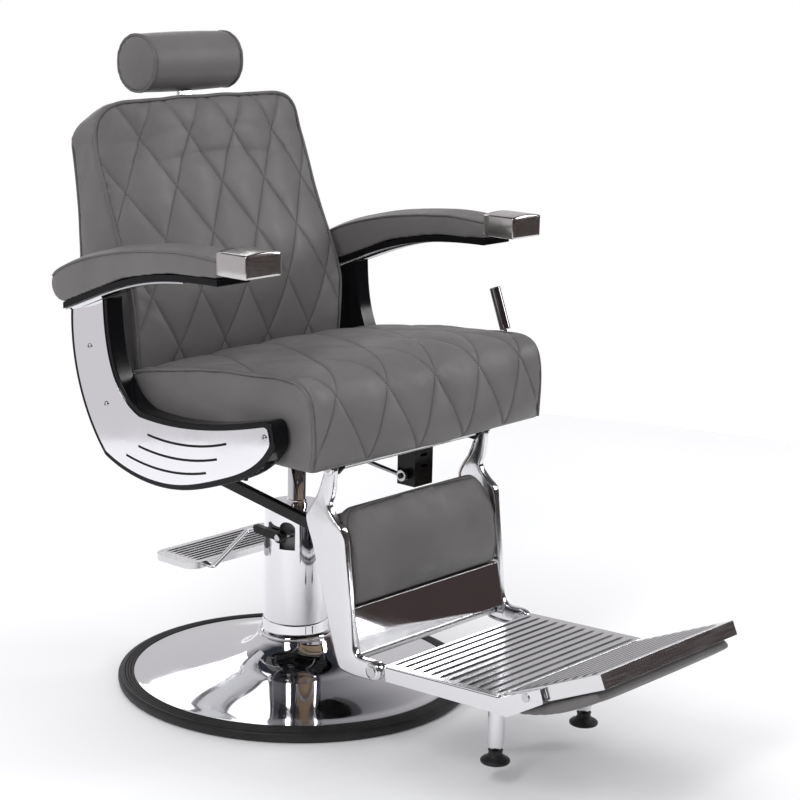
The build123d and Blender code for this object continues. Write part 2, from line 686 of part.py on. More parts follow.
# ================================================================================================
# Recline lever on the sitter's left
# ================================================================================================
with BuildPart() as lever_pivot:
    bar(FACE_X + FACE_T, LEVER_X + 9, LEVER_Y, LEVER_Z, 5)
    bar(LEVER_X + 9, LEVER_X + 12, LEVER_Y, LEVER_Z, 8)
save(lever_pivot, "lever_pivot")

lean = radians(LEVER_LEAN)
lever_line = Plane(origin=(LEVER_X, LEVER_Y, LEVER_Z), x_dir=(1, 0, 0), z_dir=(0, sin(lean), cos(lean)))
with BuildPart() as lever_rod:
    bar(LEVER_X - 7, LEVER_X + 7, LEVER_Y, LEVER_Z, 12)
    with BuildSketch(lever_line):
        Circle(4.5)
    extrude(amount=KNOB_START + 10)
    bar(LEVER_X - 7, LEVER_X + 7, LEVER_Y, LEVER_Z, 5 + RUN, Mode.SUBTRACT)
save(lever_rod, "lever_rod")

with BuildPart() as lever_knob:
    with BuildSketch(lever_line.offset(KNOB_START)):
        Circle(KNOB_R)
    extrude(amount=KNOB_L)
    fillet(lever_knob.edges().filter_by(GeomType.CIRCLE), 2)
    with BuildSketch(lever_line.offset(KNOB_START)):
        Circle(4.6)
    extrude(amount=10.5, mode=Mode.SUBTRACT)
save(lever_knob, "lever_knob")

# ================================================================================================
# Back
# ================================================================================================
tilt = radians(BACK_TILT)


def board_front(z):
    """How far back the front of the back board is at a height."""
    return BOARD_Y + (z - BOARD_Z) * tan(tilt)


def board_rear(z):
    return board_front(z) + BACK_BOARD_T / cos(tilt)


board_plane = Plane(origin=(0, BOARD_Y, BOARD_Z), x_dir=(1, 0, 0), z_dir=(0, sin(tilt), cos(tilt)))
stem_plane = Plane(origin=(0, HEAD_Y, HEAD_Z), x_dir=(1, 0, 0), z_dir=(0, sin(tilt), cos(tilt)))
FRONT_LINE = ((136, BACK_BOTTOM), (140, 660), (178, 800), (217, 900), (246, 985))
REAR_LINE = ((292, BACK_BOTTOM), (304, 773), (322, 900), (330, 975))
TOP_LINE = ((246, 985), (247, 1036), (285, BACK_TOP - 4), (322, 1020), (330, 975))


def back_side():
    """Draws the whole back's side outline; the top rolls over from front to rear."""
    front_line = Spline(*FRONT_LINE)
    rear_line = Spline(*REAR_LINE)
    Spline(*TOP_LINE, tangents=(front_line % 1, -(rear_line % 1)))
    Line(front_line @ 0, rear_line @ 0)


def front_shape(half_w, low, high, corner):
    """Keeps the part inside a front outline whose two upper corners are round."""
    with BuildSketch(Plane.XZ.offset(-400)) as outline:
        with Locations((0, (low + high) / 2)):
            Rectangle(2 * half_w, high - low)
        fillet(outline.vertices().group_by(Axis.Z)[-1], corner)
    extrude(outline.sketch, amount=800, mode=Mode.INTERSECT)


def behind_board(line, mode):
    """Cuts or keeps what lies behind a leaning line, given as a function of height."""
    low, high = BACK_BOTTOM - 40, BACK_TOP + 40
    with BuildSketch(side_plane(-BACK_HALF_W - 5)) as outline:
        with BuildLine():
            Polyline((line(low), low), (line(high), high), (500, high), (500, low), close=True)
        make_face()
    extrude(outline.sketch, amount=2 * BACK_HALF_W + 10, mode=mode)


with BuildPart() as back_cushion:
    with BuildSketch(side_plane(-BACK_HALF_W)):
        with BuildLine():
            back_side()
        make_face()
    extrude(amount=2 * BACK_HALF_W)
    front_shape(BACK_HALF_W, BACK_BOTTOM - 5, BACK_TOP + 2, 60)
    behind_board(board_front, Mode.SUBTRACT)
save(back_cushion, "back_cushion")

with BuildPart() as back_shell:
    with BuildSketch(side_plane(-BACK_HALF_W)):
        with BuildLine():
            back_side()
        make_face()
    extrude(amount=2 * BACK_HALF_W)
    front_shape(BACK_HALF_W, BACK_BOTTOM - 5, BACK_TOP + 2, 60)
    behind_board(board_front, Mode.INTERSECT)
    cavity_top = HEAD_Z - (SOCKET_TOP - 6) * cos(tilt)
    with BuildSketch(side_plane(-BACK_HALF_W + BACK_WALL)):
        with BuildLine():
            Polyline(
                (board_front(BACK_BOTTOM) - 5, BACK_BOTTOM - 1), (292 - BACK_WALL, BACK_BOTTOM - 1),
                (304 - BACK_WALL, 773), (329 - BACK_WALL, cavity_top),
                (board_front(cavity_top) - 5, cavity_top), close=True,
            )
        make_face()
    extrude(amount=2 * (BACK_HALF_W - BACK_WALL), mode=Mode.SUBTRACT)
    with BuildSketch(stem_plane):
        Rectangle(STEM_W + 2, STEM_T + 2)
    extrude(amount=-STEM_FOOT, mode=Mode.SUBTRACT)
save(back_shell, "back_shell")

with BuildPart() as back_board:
    with BuildSketch(board_plane):
        with Locations((0, BACK_BOARD_T / 2)):
            Rectangle(2 * (BACK_HALF_W - BACK_WALL) - 4, BACK_BOARD_T)
    extrude(amount=BACK_BOARD_H)
save(back_board, "back_board")

STRAP_DEPTH = 26.0
STRAP_TOP = 780.0
STRAP_BOSS_R = 20.0
STRAP_LOW = STRAP_X - STRAP_T / 2


def strap_body(x_low):
    """The upper part of a strap, from the recline pivot to the rear of the back board."""
    behind = 1.0
    slab(
        x_low, x_low + STRAP_T,
        (RECLINE_Y, RECLINE_Z + STRAP_BOSS_R - 3), (board_rear(BACK_BOTTOM) + behind, BACK_BOTTOM - 4),
        (board_rear(STRAP_TOP) + behind, STRAP_TOP),
        (board_rear(STRAP_TOP) + STRAP_DEPTH, STRAP_TOP),
        (board_rear(BACK_BOTTOM + 30) + STRAP_DEPTH, BACK_BOTTOM + 30),
        (board_rear(BACK_BOTTOM) + STRAP_DEPTH - 4, BACK_BOTTOM - 22),
        (RECLINE_Y, RECLINE_Z - STRAP_BOSS_R + 1),
    )
    bar(x_low, x_low + STRAP_T, RECLINE_Y, RECLINE_Z, STRAP_BOSS_R)


TAIL_BEND = (RECLINE_Y + 14, RECLINE_Z - 48)


def tail(x_low, thickness, end, width):
    """A tail that drops from the recline pivot and hooks forward to a pin."""
    for start, stop in (((RECLINE_Y, RECLINE_Z), TAIL_BEND), (TAIL_BEND, end)):
        way = Vector(*stop) - Vector(*start)
        middle = (Vector(*stop) + Vector(*start)) / 2
        with BuildSketch(side_plane(x_low)) as outline:
            with Locations((middle.X, middle.Y)):
                SlotCenterToCenter(way.length, width, rotation=degrees(atan2(way.Y, way.X)))
        extrude(outline.sketch, amount=thickness)


with BuildPart() as back_straps:
    strap_body(STRAP_LOW)
    strap_body(-STRAP_LOW - STRAP_T)
    tail(-STRAP_LOW - STRAP_T, STRAP_T, (TAIL_Y, TAIL_Z), 22)
    bar(-STRAP_X - 5, STRAP_X + 5, RECLINE_Y, RECLINE_Z, PIN_R + 0.1, Mode.SUBTRACT)
save(back_straps, "back_straps")

TAIL_PLATE_X = LOCK_X + LOCK_CYL_R + 1.5
with BuildPart() as torsion_tube:
    bar(-STRAP_LOW + AIR, STRAP_LOW - AIR, RECLINE_Y, RECLINE_Z, TUBE_R)
    bar(-HINGE_X - 8, HINGE_X + 8, RECLINE_Y, RECLINE_Z, PIN_R)
    tail(TAIL_PLATE_X, STRAP_T, (LOCK_TAIL_Y, LOCK_TAIL_Z), 16)
save(torsion_tube, "torsion_tube")

BLOCK_T = (
    (HEAD_Y - BOARD_Y) * cos(tilt) - (HEAD_Z - BOARD_Z) * sin(tilt) - BACK_BOARD_T
    - STEM_T / 2 - SOCKET_WALL
)
with BuildPart() as headrest_socket:
    with BuildSketch(stem_plane.offset(-SOCKET_TOP)):
        Rectangle(STEM_W + 2 * SOCKET_WALL, STEM_T + 2 * SOCKET_WALL)
        with Locations((0, -(STEM_T / 2 + SOCKET_WALL + BLOCK_T / 2))):
            Rectangle(STEM_W + 2 * SOCKET_WALL, BLOCK_T)
        Rectangle(STEM_W + 0.6, STEM_T + 0.6, mode=Mode.SUBTRACT)
    extrude(amount=-SOCKET_L)
save(headrest_socket, "headrest_socket")

# ================================================================================================
# Headrest
# ================================================================================================
CORE_R = 18.0
STEM_SUNK = 10.0
with BuildPart() as headrest_cushion:
    with BuildSketch(side_plane(-HEAD_HALF_W)):
        with Locations((HEAD_Y, HEAD_Z)):
            Circle(HEAD_R)
    extrude(amount=2 * HEAD_HALF_W)
    fillet(headrest_cushion.edges().filter_by(GeomType.CIRCLE), 9)
    bar(-HEAD_HALF_W + 14, HEAD_HALF_W - 14, HEAD_Y, HEAD_Z, CORE_R, Mode.SUBTRACT)
    with BuildSketch(stem_plane.offset(-CORE_R + 4)):
        Rectangle(STEM_W + 1, STEM_T + 1)
    extrude(amount=-HEAD_R, mode=Mode.SUBTRACT)
save(headrest_cushion, "headrest_cushion")

with BuildPart() as headrest_core:
    bar(-HEAD_HALF_W + 14, HEAD_HALF_W - 14, HEAD_Y, HEAD_Z, CORE_R - 0.2)
    with BuildSketch(stem_plane.offset(-CORE_R + STEM_SUNK)):
        Rectangle(STEM_W + 0.1, STEM_T + 0.1)
    extrude(amount=-HEAD_R, mode=Mode.SUBTRACT)
save(headrest_core, "headrest_core")

with BuildPart() as headrest_stem:
    with BuildSketch(stem_plane.offset(-CORE_R + STEM_SUNK)):
        Rectangle(STEM_W, STEM_T)
    extrude(amount=CORE_R - STEM_SUNK - STEM_FOOT)
save(headrest_stem, "headrest_stem")

# ================================================================================================
# Legrest
# ================================================================================================
LEG_BOSS_R = 12.0
FOOT_BOSS_R = 16.0


def legrest_arm(x_low, name):
    """A cast arm: straight at the top, kneed forward at the link pin, and toed forward at its foot."""
    with BuildPart() as arm:
        with BuildSketch(side_plane(x_low)) as outline:
            with BuildLine():
                Polyline(
                    (LEG_Y - 11, LEG_Z - 4), (-262, 420), (-300, 386), (-327, 184), (-338, FOOT_Z + 15),
                    (FOOT_Y, FOOT_Z + FOOT_BOSS_R), (FOOT_Y, FOOT_Z - FOOT_BOSS_R), (-298, FOOT_Z - FOOT_BOSS_R),
                    (-281, 184), (-231, 348), (-217, 400), (-240, 434), (LEG_Y + 11, LEG_Z), close=True,
                )
            make_face()
            fillet(outline.vertices().sort_by_distance((x_low, FOOT_Y, FOOT_Z))[2:], 7)
            with Locations((LEG_Y, LEG_Z)):
                Circle(LEG_BOSS_R)
            with Locations((FOOT_Y, FOOT_Z)):
                Circle(FOOT_BOSS_R)
        extrude(amount=LEG_ARM_T)
        bar(x_low - 1, x_low + LEG_ARM_T + 1, LEG_Y, LEG_Z, LEG_SHAFT_R + 0.1, Mode.SUBTRACT)
        bar(x_low - 1, x_low + LEG_ARM_T + 1, FOOT_Y, FOOT_Z, FOOT_PIN_R + RUN, Mode.SUBTRACT)
    save(arm, name)


legrest_arm(LEG_ARM_IN, "legrest_arm_left")
legrest_arm(-LEG_ARM_IN - LEG_ARM_T, "legrest_arm_right")

LINK_LOW = LINK_X - LINK_T / 2
LINK_HIGH = LINK_X + LINK_T / 2
with BuildPart() as legrest_shafts:
    shaft_end = LEG_ARM_IN + LEG_ARM_T + 3
    bar(-shaft_end, shaft_end, LEG_Y, LEG_Z, LEG_SHAFT_R)
    bar(-LEG_ARM_IN, LEG_ARM_IN, -247, 330, 9)
    bar(-LEG_ARM_IN, LEG_ARM_IN, -306, 163, 8)
    bar(-LEG_ARM_IN, LINK_HIGH + 1, KNEE_Y, KNEE_Z, LINK_PIN_R)
    bar(LINK_HIGH + 1, LINK_HIGH + 5, KNEE_Y, KNEE_Z, 1.7 * LINK_PIN_R)
save(legrest_shafts, "legrest_shafts")

PAD_LOW = 254.0
PAD_HIGH = 414.0
with BuildPart() as calf_pad:
    with BuildSketch(side_plane(-CALF_HALF_W)):
        with BuildLine():
            calf_front = Spline((-314, PAD_LOW), (-317, 300), (-304, 366), (-278, PAD_HIGH - 3), (-261, PAD_HIGH - 6))
            Polyline(calf_front @ 1, (-283, PAD_LOW), calf_front @ 0)
        make_face()
    extrude(amount=2 * CALF_HALF_W)
    front_shape(CALF_HALF_W, PAD_LOW - 2, PAD_HIGH, 34)
save(calf_pad, "calf_pad")

with BuildPart() as calf_board:
    slab(
        -CALF_HALF_W + 12, CALF_HALF_W - 12,
        (-262, PAD_HIGH - 16), (-252, PAD_HIGH - 16), (-272.5, PAD_LOW + 2), (-282.5, PAD_LOW + 2),
    )
save(calf_board, "calf_board")

with BuildPart() as kick_plate:
    kick_w = CALF_HALF_W + 1.5
    slab(-kick_w, kick_w, (-316, PAD_LOW - 1), (-314, PAD_LOW - 1), (-330, 177), (-332, 177))
    slab(-kick_w, kick_w, (-316, PAD_LOW - 1), (-284, PAD_LOW - 1), (-284, PAD_LOW - 3), (-316, PAD_LOW - 3))
    slab(-kick_w, kick_w, (-331, 177), (-308, 177), (-308, 179), (-331, 179))
save(kick_plate, "kick_plate")

with BuildPart() as link_bar:
    knee = Vector(KNEE_Y, KNEE_Z)
    rear_eye = Vector(TAIL_Y, TAIL_Z)
    link_way = rear_eye - knee
    link_middle = (rear_eye + knee) / 2
    with BuildSketch(side_plane(LINK_LOW)):
        with Locations((link_middle.X, link_middle.Y)):
            SlotCenterToCenter(link_way.length, LINK_W, rotation=degrees(atan2(link_way.Y, link_way.X)))
        with Locations((KNEE_Y, KNEE_Z), (TAIL_Y, TAIL_Z)):
            Circle(LINK_W * 0.62)
    extrude(amount=LINK_T)
    bar(LINK_LOW, LINK_HIGH, KNEE_Y, KNEE_Z, LINK_PIN_R + RUN, Mode.SUBTRACT)
    bar(LINK_LOW, LINK_HIGH, TAIL_Y, TAIL_Z, LINK_PIN_R + 0.1, Mode.SUBTRACT)
save(link_bar, "link_bar")

with BuildPart() as link_bolt:
    bar(LINK_LOW - 1.5, LINK_HIGH + 1, TAIL_Y, TAIL_Z, LINK_PIN_R)
    bar(LINK_HIGH + 1, LINK_HIGH + 6, TAIL_Y, TAIL_Z, 1.7 * LINK_PIN_R)
save(link_bolt, "link_bolt")

# ================================================================================================
# Recline lock: a rod hinged to the front bracket slides in a cylinder hinged to the back
# ================================================================================================
lock_way = Vector(0, LOCK_TAIL_Y - LOCK_Y, LOCK_TAIL_Z - LOCK_Z)
lock_line = Plane(origin=(LOCK_X, LOCK_Y, LOCK_Z), x_dir=(1, 0, 0), z_dir=lock_way.normalized())
LOCK_CYL_L = 165.0
LOCK_EYE_R = 9.0
with BuildPart() as lock_rod:
    bar(LOCK_X - LOCK_ROD_R, LOCK_X + LOCK_ROD_R, LOCK_Y, LOCK_Z, LOCK_EYE_R + 1)
    with BuildSketch(lock_line):
        Circle(LOCK_ROD_R)
    extrude(amount=lock_way.length - 75)
    bar(LOCK_X - LOCK_ROD_R, LOCK_X + LOCK_ROD_R, LOCK_Y, LOCK_Z, LINK_PIN_R - 1 + RUN, Mode.SUBTRACT)
save(lock_rod, "lock_rod")

with BuildPart() as lock_cylinder:
    with BuildSketch(lock_line.offset(lock_way.length - LOCK_EYE_R - 4)):
        Circle(LOCK_CYL_R)
    extrude(amount=-LOCK_CYL_L)
    with BuildSketch(lock_line.offset(lock_way.length - 20)):
        Circle(LOCK_ROD_R + RUN)
    extrude(amount=-LOCK_CYL_L, mode=Mode.SUBTRACT)
    bar(LOCK_X - 5, LOCK_X + 5, LOCK_TAIL_Y, LOCK_TAIL_Z, LOCK_EYE_R)
    with BuildSketch(lock_line.offset(lock_way.length - LOCK_EYE_R - 6)):
        Rectangle(10, 12)
    extrude(amount=10)
    bar(LOCK_X - 7, TAIL_PLATE_X - AIR, LOCK_TAIL_Y, LOCK_TAIL_Z, 4)
save(lock_cylinder, "lock_cylinder")

# ================================================================================================
# Footrest
# ================================================================================================
tread_lean = radians(TREAD_TILT)
toe_lean = radians(TOE_TILT)
KINK_Y = TREAD_REAR - TREAD_L * cos(tread_lean)
KINK_Z = TREAD_REAR_Z + TREAD_L * sin(tread_lean)


def tread_z(y, drop=0.0):
    """Height of the tread's top surface at y, lowered."""
    return TREAD_REAR_Z + (TREAD_REAR - y) * tan(tread_lean) - drop


def toe_z(y, drop=0.0):
    return KINK_Z + (KINK_Y - y) * tan(toe_lean) - drop


tread_plane = Plane(
    origin=(0, TREAD_REAR, TREAD_REAR_Z), x_dir=(1, 0, 0), z_dir=(0, sin(tread_lean), cos(tread_lean))
)
toe_plane = Plane(origin=(0, KINK_Y, KINK_Z), x_dir=(1, 0, 0), z_dir=(0, sin(toe_lean), cos(toe_lean)))
TONGUE_IN = RAIL_IN - 4
CROSSBAR_H = 18.0
END_TOP_Y = TOE_Y - 0.8 * TOE_END_R

with BuildPart() as foot_rails:
    with BuildSketch(side_plane(RAIL_IN)):
        with BuildLine():
            rail_top = Polyline(
                (TREAD_REAR, tread_z(TREAD_REAR, TREAD_T + 0.2)), (KINK_Y, KINK_Z - TREAD_T - 0.2),
                (END_TOP_Y, toe_z(END_TOP_Y, TREAD_T + 0.2)),
            )
            Polyline(
                rail_top @ 1, (TOE_Y - TOE_END_R, TOE_Z + 2), (TOE_Y - TOE_END_R + 1, TOE_Z - 2),
                (KINK_Y - 19, KINK_Z - 30),
                (KINK_Y + 14, tread_z(KINK_Y + 14, FOOT_RAIL_H + 3)),
                (TREAD_REAR - 4, tread_z(TREAD_REAR - 4, FOOT_RAIL_H)), rail_top @ 0,
            )
        make_face()
    extrude(amount=RAIL_OUT - RAIL_IN)
    fillet(foot_rails.edges().filter_by(Axis.X).sort_by(Axis.Y)[:2], 1)
    bar(RAIL_IN, RAIL_OUT, FOOT_Y, FOOT_Z, FOOT_BOSS_R + 2.5, Mode.SUBTRACT)
    slab(
        TONGUE_IN, LEG_ARM_IN - 1.5,
        (FOOT_Y, FOOT_Z + 9), (FOOT_Y, FOOT_Z - 10), (TREAD_REAR - 30, tread_z(TREAD_REAR - 30, 22)),
        (TREAD_REAR - 30, tread_z(TREAD_REAR - 30, TREAD_T + 0.2)),
        (TREAD_REAR, tread_z(TREAD_REAR, TREAD_T + 0.2)),
    )
    bar(TONGUE_IN, LEG_ARM_IN - 1.5, FOOT_Y, FOOT_Z, 11)
    bar(TONGUE_IN, LEG_ARM_IN, FOOT_Y, FOOT_Z, FOOT_PIN_R + RUN, Mode.SUBTRACT)
    bar(RAIL_IN, RAIL_OUT, TOE_Y, TOE_Z, TOE_PIN_R + RUN, Mode.SUBTRACT)
    mirror(about=Plane.YZ)
save(foot_rails, "foot_rails")

with BuildPart() as foot_pins:
    bar(RAIL_IN - 4, LEG_ARM_IN + LEG_ARM_T + 1, FOOT_Y, FOOT_Z, FOOT_PIN_R)
    bar(LEG_ARM_IN + LEG_ARM_T + 1, LEG_ARM_IN + LEG_ARM_T + 4, FOOT_Y, FOOT_Z, 1.5 * FOOT_PIN_R)
    bar(RAIL_IN - 10, RAIL_OUT, TOE_Y, TOE_Z, TOE_PIN_R)
    bar(RAIL_OUT, RAIL_OUT + 2, TOE_Y, TOE_Z, 1.4 * TOE_PIN_R)
    mirror(about=Plane.YZ)
save(foot_pins, "foot_pins")

with BuildPart() as foot_crossbars:
    for bar_rear, bar_front, bar_h in (
        (TREAD_REAR - 8, TREAD_REAR - 34, 16), (LEG_POST_Y + 20, LEG_POST_Y - 20, CROSSBAR_H),
    ):
        bar_low = tread_z(bar_rear, TREAD_T + bar_h)
        bar_drop = TREAD_T + 0.02
        slab(
            -TONGUE_IN, TONGUE_IN,
            (bar_rear, tread_z(bar_rear, bar_drop)), (bar_front, tread_z(bar_front, bar_drop)),
            (bar_front, bar_low), (bar_rear, bar_low),
        )
save(foot_crossbars, "foot_crossbars")


def ribs(plane, half_w, count, first):
    """Rows of low half-round ribs along X, stood on a plate."""
    for index in range(count):
        with BuildSketch(plane.offset(-0.5)) as outline:
            with Locations((0, -first - index * RIB_PITCH)):
                SlotOverall(2 * half_w, 7)
        extrude(outline.sketch, amount=RIB_H + 0.5)


TREAD_HALF_W = RAIL_OUT - 0.8
with BuildPart() as tread_plate:
    with BuildSketch(tread_plane):
        with Locations((0, -TREAD_L / 2 + 1.5)):
            Rectangle(2 * TREAD_HALF_W, TREAD_L - 3)
    extrude(amount=-TREAD_T)
    ribs(tread_plane, TREAD_HALF_W - RIB_MARGIN, 12, 11)
save(tread_plate, "tread_plate")

LEG_TOP = tread_z(LEG_POST_Y + 20, TREAD_T + CROSSBAR_H)
with BuildPart() as foot_legs:
    with BuildSketch(Plane.XY.offset(LEG_TOP)):
        with Locations((LEG_POST_X, LEG_POST_Y)):
            Circle(LEG_POST_R)
    extrude(amount=LEG_POST_FOOT + 8 - LEG_TOP)
    with BuildSketch(Plane.XY.offset(LEG_POST_FOOT + 8)):
        with Locations((LEG_POST_X, LEG_POST_Y)):
            Circle(LEG_POST_R)
    extrude(amount=-8, taper=20)
    with BuildSketch(Plane.XY.offset(LEG_POST_FOOT)):
        with Locations((LEG_POST_X, LEG_POST_Y)):
            Circle(STUD_R + 0.08)
    extrude(amount=34, mode=Mode.SUBTRACT)
    mirror(about=Plane.YZ)
save(foot_legs, "foot_legs")


def foot_pad(x, name):
    """A levelling foot: a round pad and its neck, on a stud that screws into the leg."""
    with BuildPart() as pad:
        with BuildSketch(Plane.XY.offset(PAD_FOOT)):
            with Locations((x, LEG_POST_Y)):
                Circle(PAD_R)
        extrude(amount=PAD_H)
        fillet(pad.faces().sort_by(Axis.Z)[-1].edges(), 6)
        fillet(pad.faces().sort_by(Axis.Z)[0].edges(), 3)
        with BuildSketch(Plane.XY.offset(PAD_FOOT + PAD_H - 3)):
            with Locations((x, LEG_POST_Y)):
                Circle(12)
        extrude(amount=LEG_POST_FOOT - 4 - PAD_FOOT - PAD_H + 3)
        with BuildSketch(Plane.XY.offset(LEG_POST_FOOT - 5)):
            with Locations((x, LEG_POST_Y)):
                Circle(STUD_R)
        extrude(amount=30)
    save(pad, name)


foot_pad(LEG_POST_X, "foot_pad_left")
foot_pad(-LEG_POST_X, "foot_pad_right")

# --- Toe flap, with its metal tray above and its pad below --------------------------------------
TRAY_REAR = (KINK_Y - TOE_Y + TOE_END_R) / cos(toe_lean)
CHEEK_OUT = RAIL_IN - 1.5


def toe_outline(plane, shrink, start, stop):
    """The flap's plan outline on a plane: straight sides that draw in towards the front."""
    first, last = (TOE_HALF_W - TOE_TAPER * d / TOE_L - shrink for d in (start, stop))
    with BuildSketch(plane) as outline:
        with BuildLine():
            Polyline((first, -start), (last, -stop), (-last, -stop), (-first, -start), close=True)
        make_face()
    return outline.sketch


with BuildPart() as toe_tray:
    extrude(toe_outline(toe_plane, 0, TRAY_REAR - 9, TOE_L), amount=-TOE_LIP)
    tray_hollow = toe_outline(toe_plane.offset(-TREAD_T), TREAD_T, TRAY_REAR - 12, TOE_L - TREAD_T)
    extrude(tray_hollow, amount=-TOE_LIP, mode=Mode.SUBTRACT)
    bar(-RAIL_OUT, RAIL_OUT, TOE_Y, TOE_Z, TOE_END_R + 2, Mode.SUBTRACT)
    with BuildSketch(toe_plane):
        with Locations((0, -(TRAY_REAR + 10) / 2)):
            Rectangle(2 * CHEEK_OUT, TRAY_REAR + 10 - 2)
    extrude(amount=-TREAD_T)
    ribs(toe_plane, CHEEK_OUT - RIB_MARGIN, 9, 15)
    for cheek_low in (CHEEK_OUT - 5, -CHEEK_OUT):
        bar(cheek_low, cheek_low + 5, TOE_Y, TOE_Z, 11)
        slab(
            cheek_low, cheek_low + 5,
            (TOE_Y + 10, TOE_Z - 2), (TOE_Y + 10, toe_z(TOE_Y + 10, 1)), (TOE_Y - 16, toe_z(TOE_Y - 16, 1)),
            (TOE_Y - 10, TOE_Z - 4),
        )
        bar(cheek_low, cheek_low + 5, TOE_Y, TOE_Z, TOE_PIN_R + RUN, Mode.SUBTRACT)
save(toe_tray, "toe_tray")

with BuildPart() as toe_pad:
    pad_x = TOE_HALF_W - TOE_TAPER - 8
    with BuildSketch(side_plane(-pad_x)):
        with BuildLine():
            pad_top = Line((KINK_Y - 24, toe_z(KINK_Y - 24, 32)), (KINK_Y - 170, toe_z(KINK_Y - 170, 27)))
            pad_low = Spline(
                (KINK_Y - 17, toe_z(KINK_Y - 17, 37)), (KINK_Y - 54, toe_z(KINK_Y - 54, 47)),
                (KINK_Y - 112, toe_z(KINK_Y - 112, 52)), (KINK_Y - 184, toe_z(KINK_Y - 184, 45)),
            )
            Line(pad_top @ 0, pad_low @ 0)
            Line(pad_top @ 1, pad_low @ 1)
        make_face()
    extrude(amount=2 * pad_x)
save(toe_pad, "toe_pad")
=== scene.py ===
"""Looks of the hydraulic barber chair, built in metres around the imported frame."""

import json
import math

import bmesh
import bpy
import numpy as np
from mathutils import Matrix, Vector


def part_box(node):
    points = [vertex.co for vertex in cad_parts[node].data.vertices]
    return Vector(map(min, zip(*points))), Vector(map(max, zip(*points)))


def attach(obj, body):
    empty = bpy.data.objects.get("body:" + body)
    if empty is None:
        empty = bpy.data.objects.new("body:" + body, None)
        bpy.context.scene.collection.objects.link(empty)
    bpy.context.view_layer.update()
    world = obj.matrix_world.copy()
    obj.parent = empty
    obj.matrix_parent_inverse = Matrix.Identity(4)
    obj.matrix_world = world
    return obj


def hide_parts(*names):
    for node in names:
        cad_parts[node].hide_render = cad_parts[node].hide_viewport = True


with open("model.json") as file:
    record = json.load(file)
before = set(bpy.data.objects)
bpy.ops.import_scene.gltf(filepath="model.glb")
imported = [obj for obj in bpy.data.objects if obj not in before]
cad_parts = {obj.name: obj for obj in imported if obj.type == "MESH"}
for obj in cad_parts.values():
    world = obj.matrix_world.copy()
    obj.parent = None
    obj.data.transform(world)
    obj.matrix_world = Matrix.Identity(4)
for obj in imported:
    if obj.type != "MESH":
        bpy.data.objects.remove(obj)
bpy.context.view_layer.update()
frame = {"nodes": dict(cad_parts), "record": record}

MM = 0.001
record = frame["record"]
SLOT_OF = {part["node"]: part["material_slot"] for part in record["subparts"]}
BODY_OF = {node: body for body, nodes in record["behaviour"]["bodies"].items() for node in nodes}
scene = bpy.context.scene


# --- Materials ----------------------------------------------------------------------------------
class Surface:
    """A procedural material: textures in the piece's own space feed one Principled shader."""

    def __init__(self, name, color, roughness, metallic=0.0, **sockets):
        self.mat = bpy.data.materials.new(name)
        self.mat.use_nodes = True
        self.tree = self.mat.node_tree
        self.shader = self.tree.nodes["Principled BSDF"]
        self.place = self.tree.nodes.new("ShaderNodeTexCoord").outputs["Object"]
        self.height = None
        self.shader.inputs["Base Color"].default_value = (*color, 1)
        self.shader.inputs["Roughness"].default_value = roughness
        self.shader.inputs["Metallic"].default_value = metallic
        for socket, value in sockets.items():
            self.shader.inputs[socket.replace("_", " ")].default_value = value

    def node(self, kind, **values):
        made = self.tree.nodes.new("ShaderNode" + kind)
        for key, value in values.items():
            if key in made.inputs:
                made.inputs[key].default_value = value
            else:
                setattr(made, key, value)
        return made

    def link(self, source, target):
        self.tree.links.new(source, target)

    def stretched(self, scale):
        mapping = self.node("Mapping")
        mapping.inputs["Scale"].default_value = scale
        self.link(self.place, mapping.inputs["Vector"])
        return mapping.outputs["Vector"]

    def noise(self, scale, detail=3.0, stretch=None):
        made = self.node("TexNoise", Scale=scale, Detail=detail)
        self.link(self.stretched(stretch) if stretch else self.place, made.inputs["Vector"])
        return made.outputs["Fac"]

    def cells(self, scale, feature="F1"):
        made = self.node("TexVoronoi", Scale=scale)
        made.feature = feature
        self.link(self.place, made.inputs["Vector"])
        return made.outputs["Distance"]

    def ramp(self, factor, low, high, start=0.3, stop=0.7):
        """A value or colour that goes from low to high as the factor goes from start to stop."""
        made = self.node("ValToRGB")
        for element, place, value in zip(made.color_ramp.elements, (start, stop), (low, high)):
            element.position = place
            element.color = (*value, 1) if isinstance(value, tuple) else (value, value, value, 1)
        self.link(factor, made.inputs["Fac"])
        return made.outputs["Color"]

    def vary(self, socket, factor, low, high, start=0.3, stop=0.7):
        self.link(self.ramp(factor, low, high, start, stop), self.shader.inputs[socket])
        return self

    def bump(self, height, strength, distance):
        made = self.node("Bump", Strength=strength, Distance=distance)
        self.link(height, made.inputs["Height"])
        if self.height is not None:
            self.link(self.height, made.inputs["Normal"])
        self.height = made.outputs["Normal"]
        self.link(self.height, self.shader.inputs["Normal"])
        return self


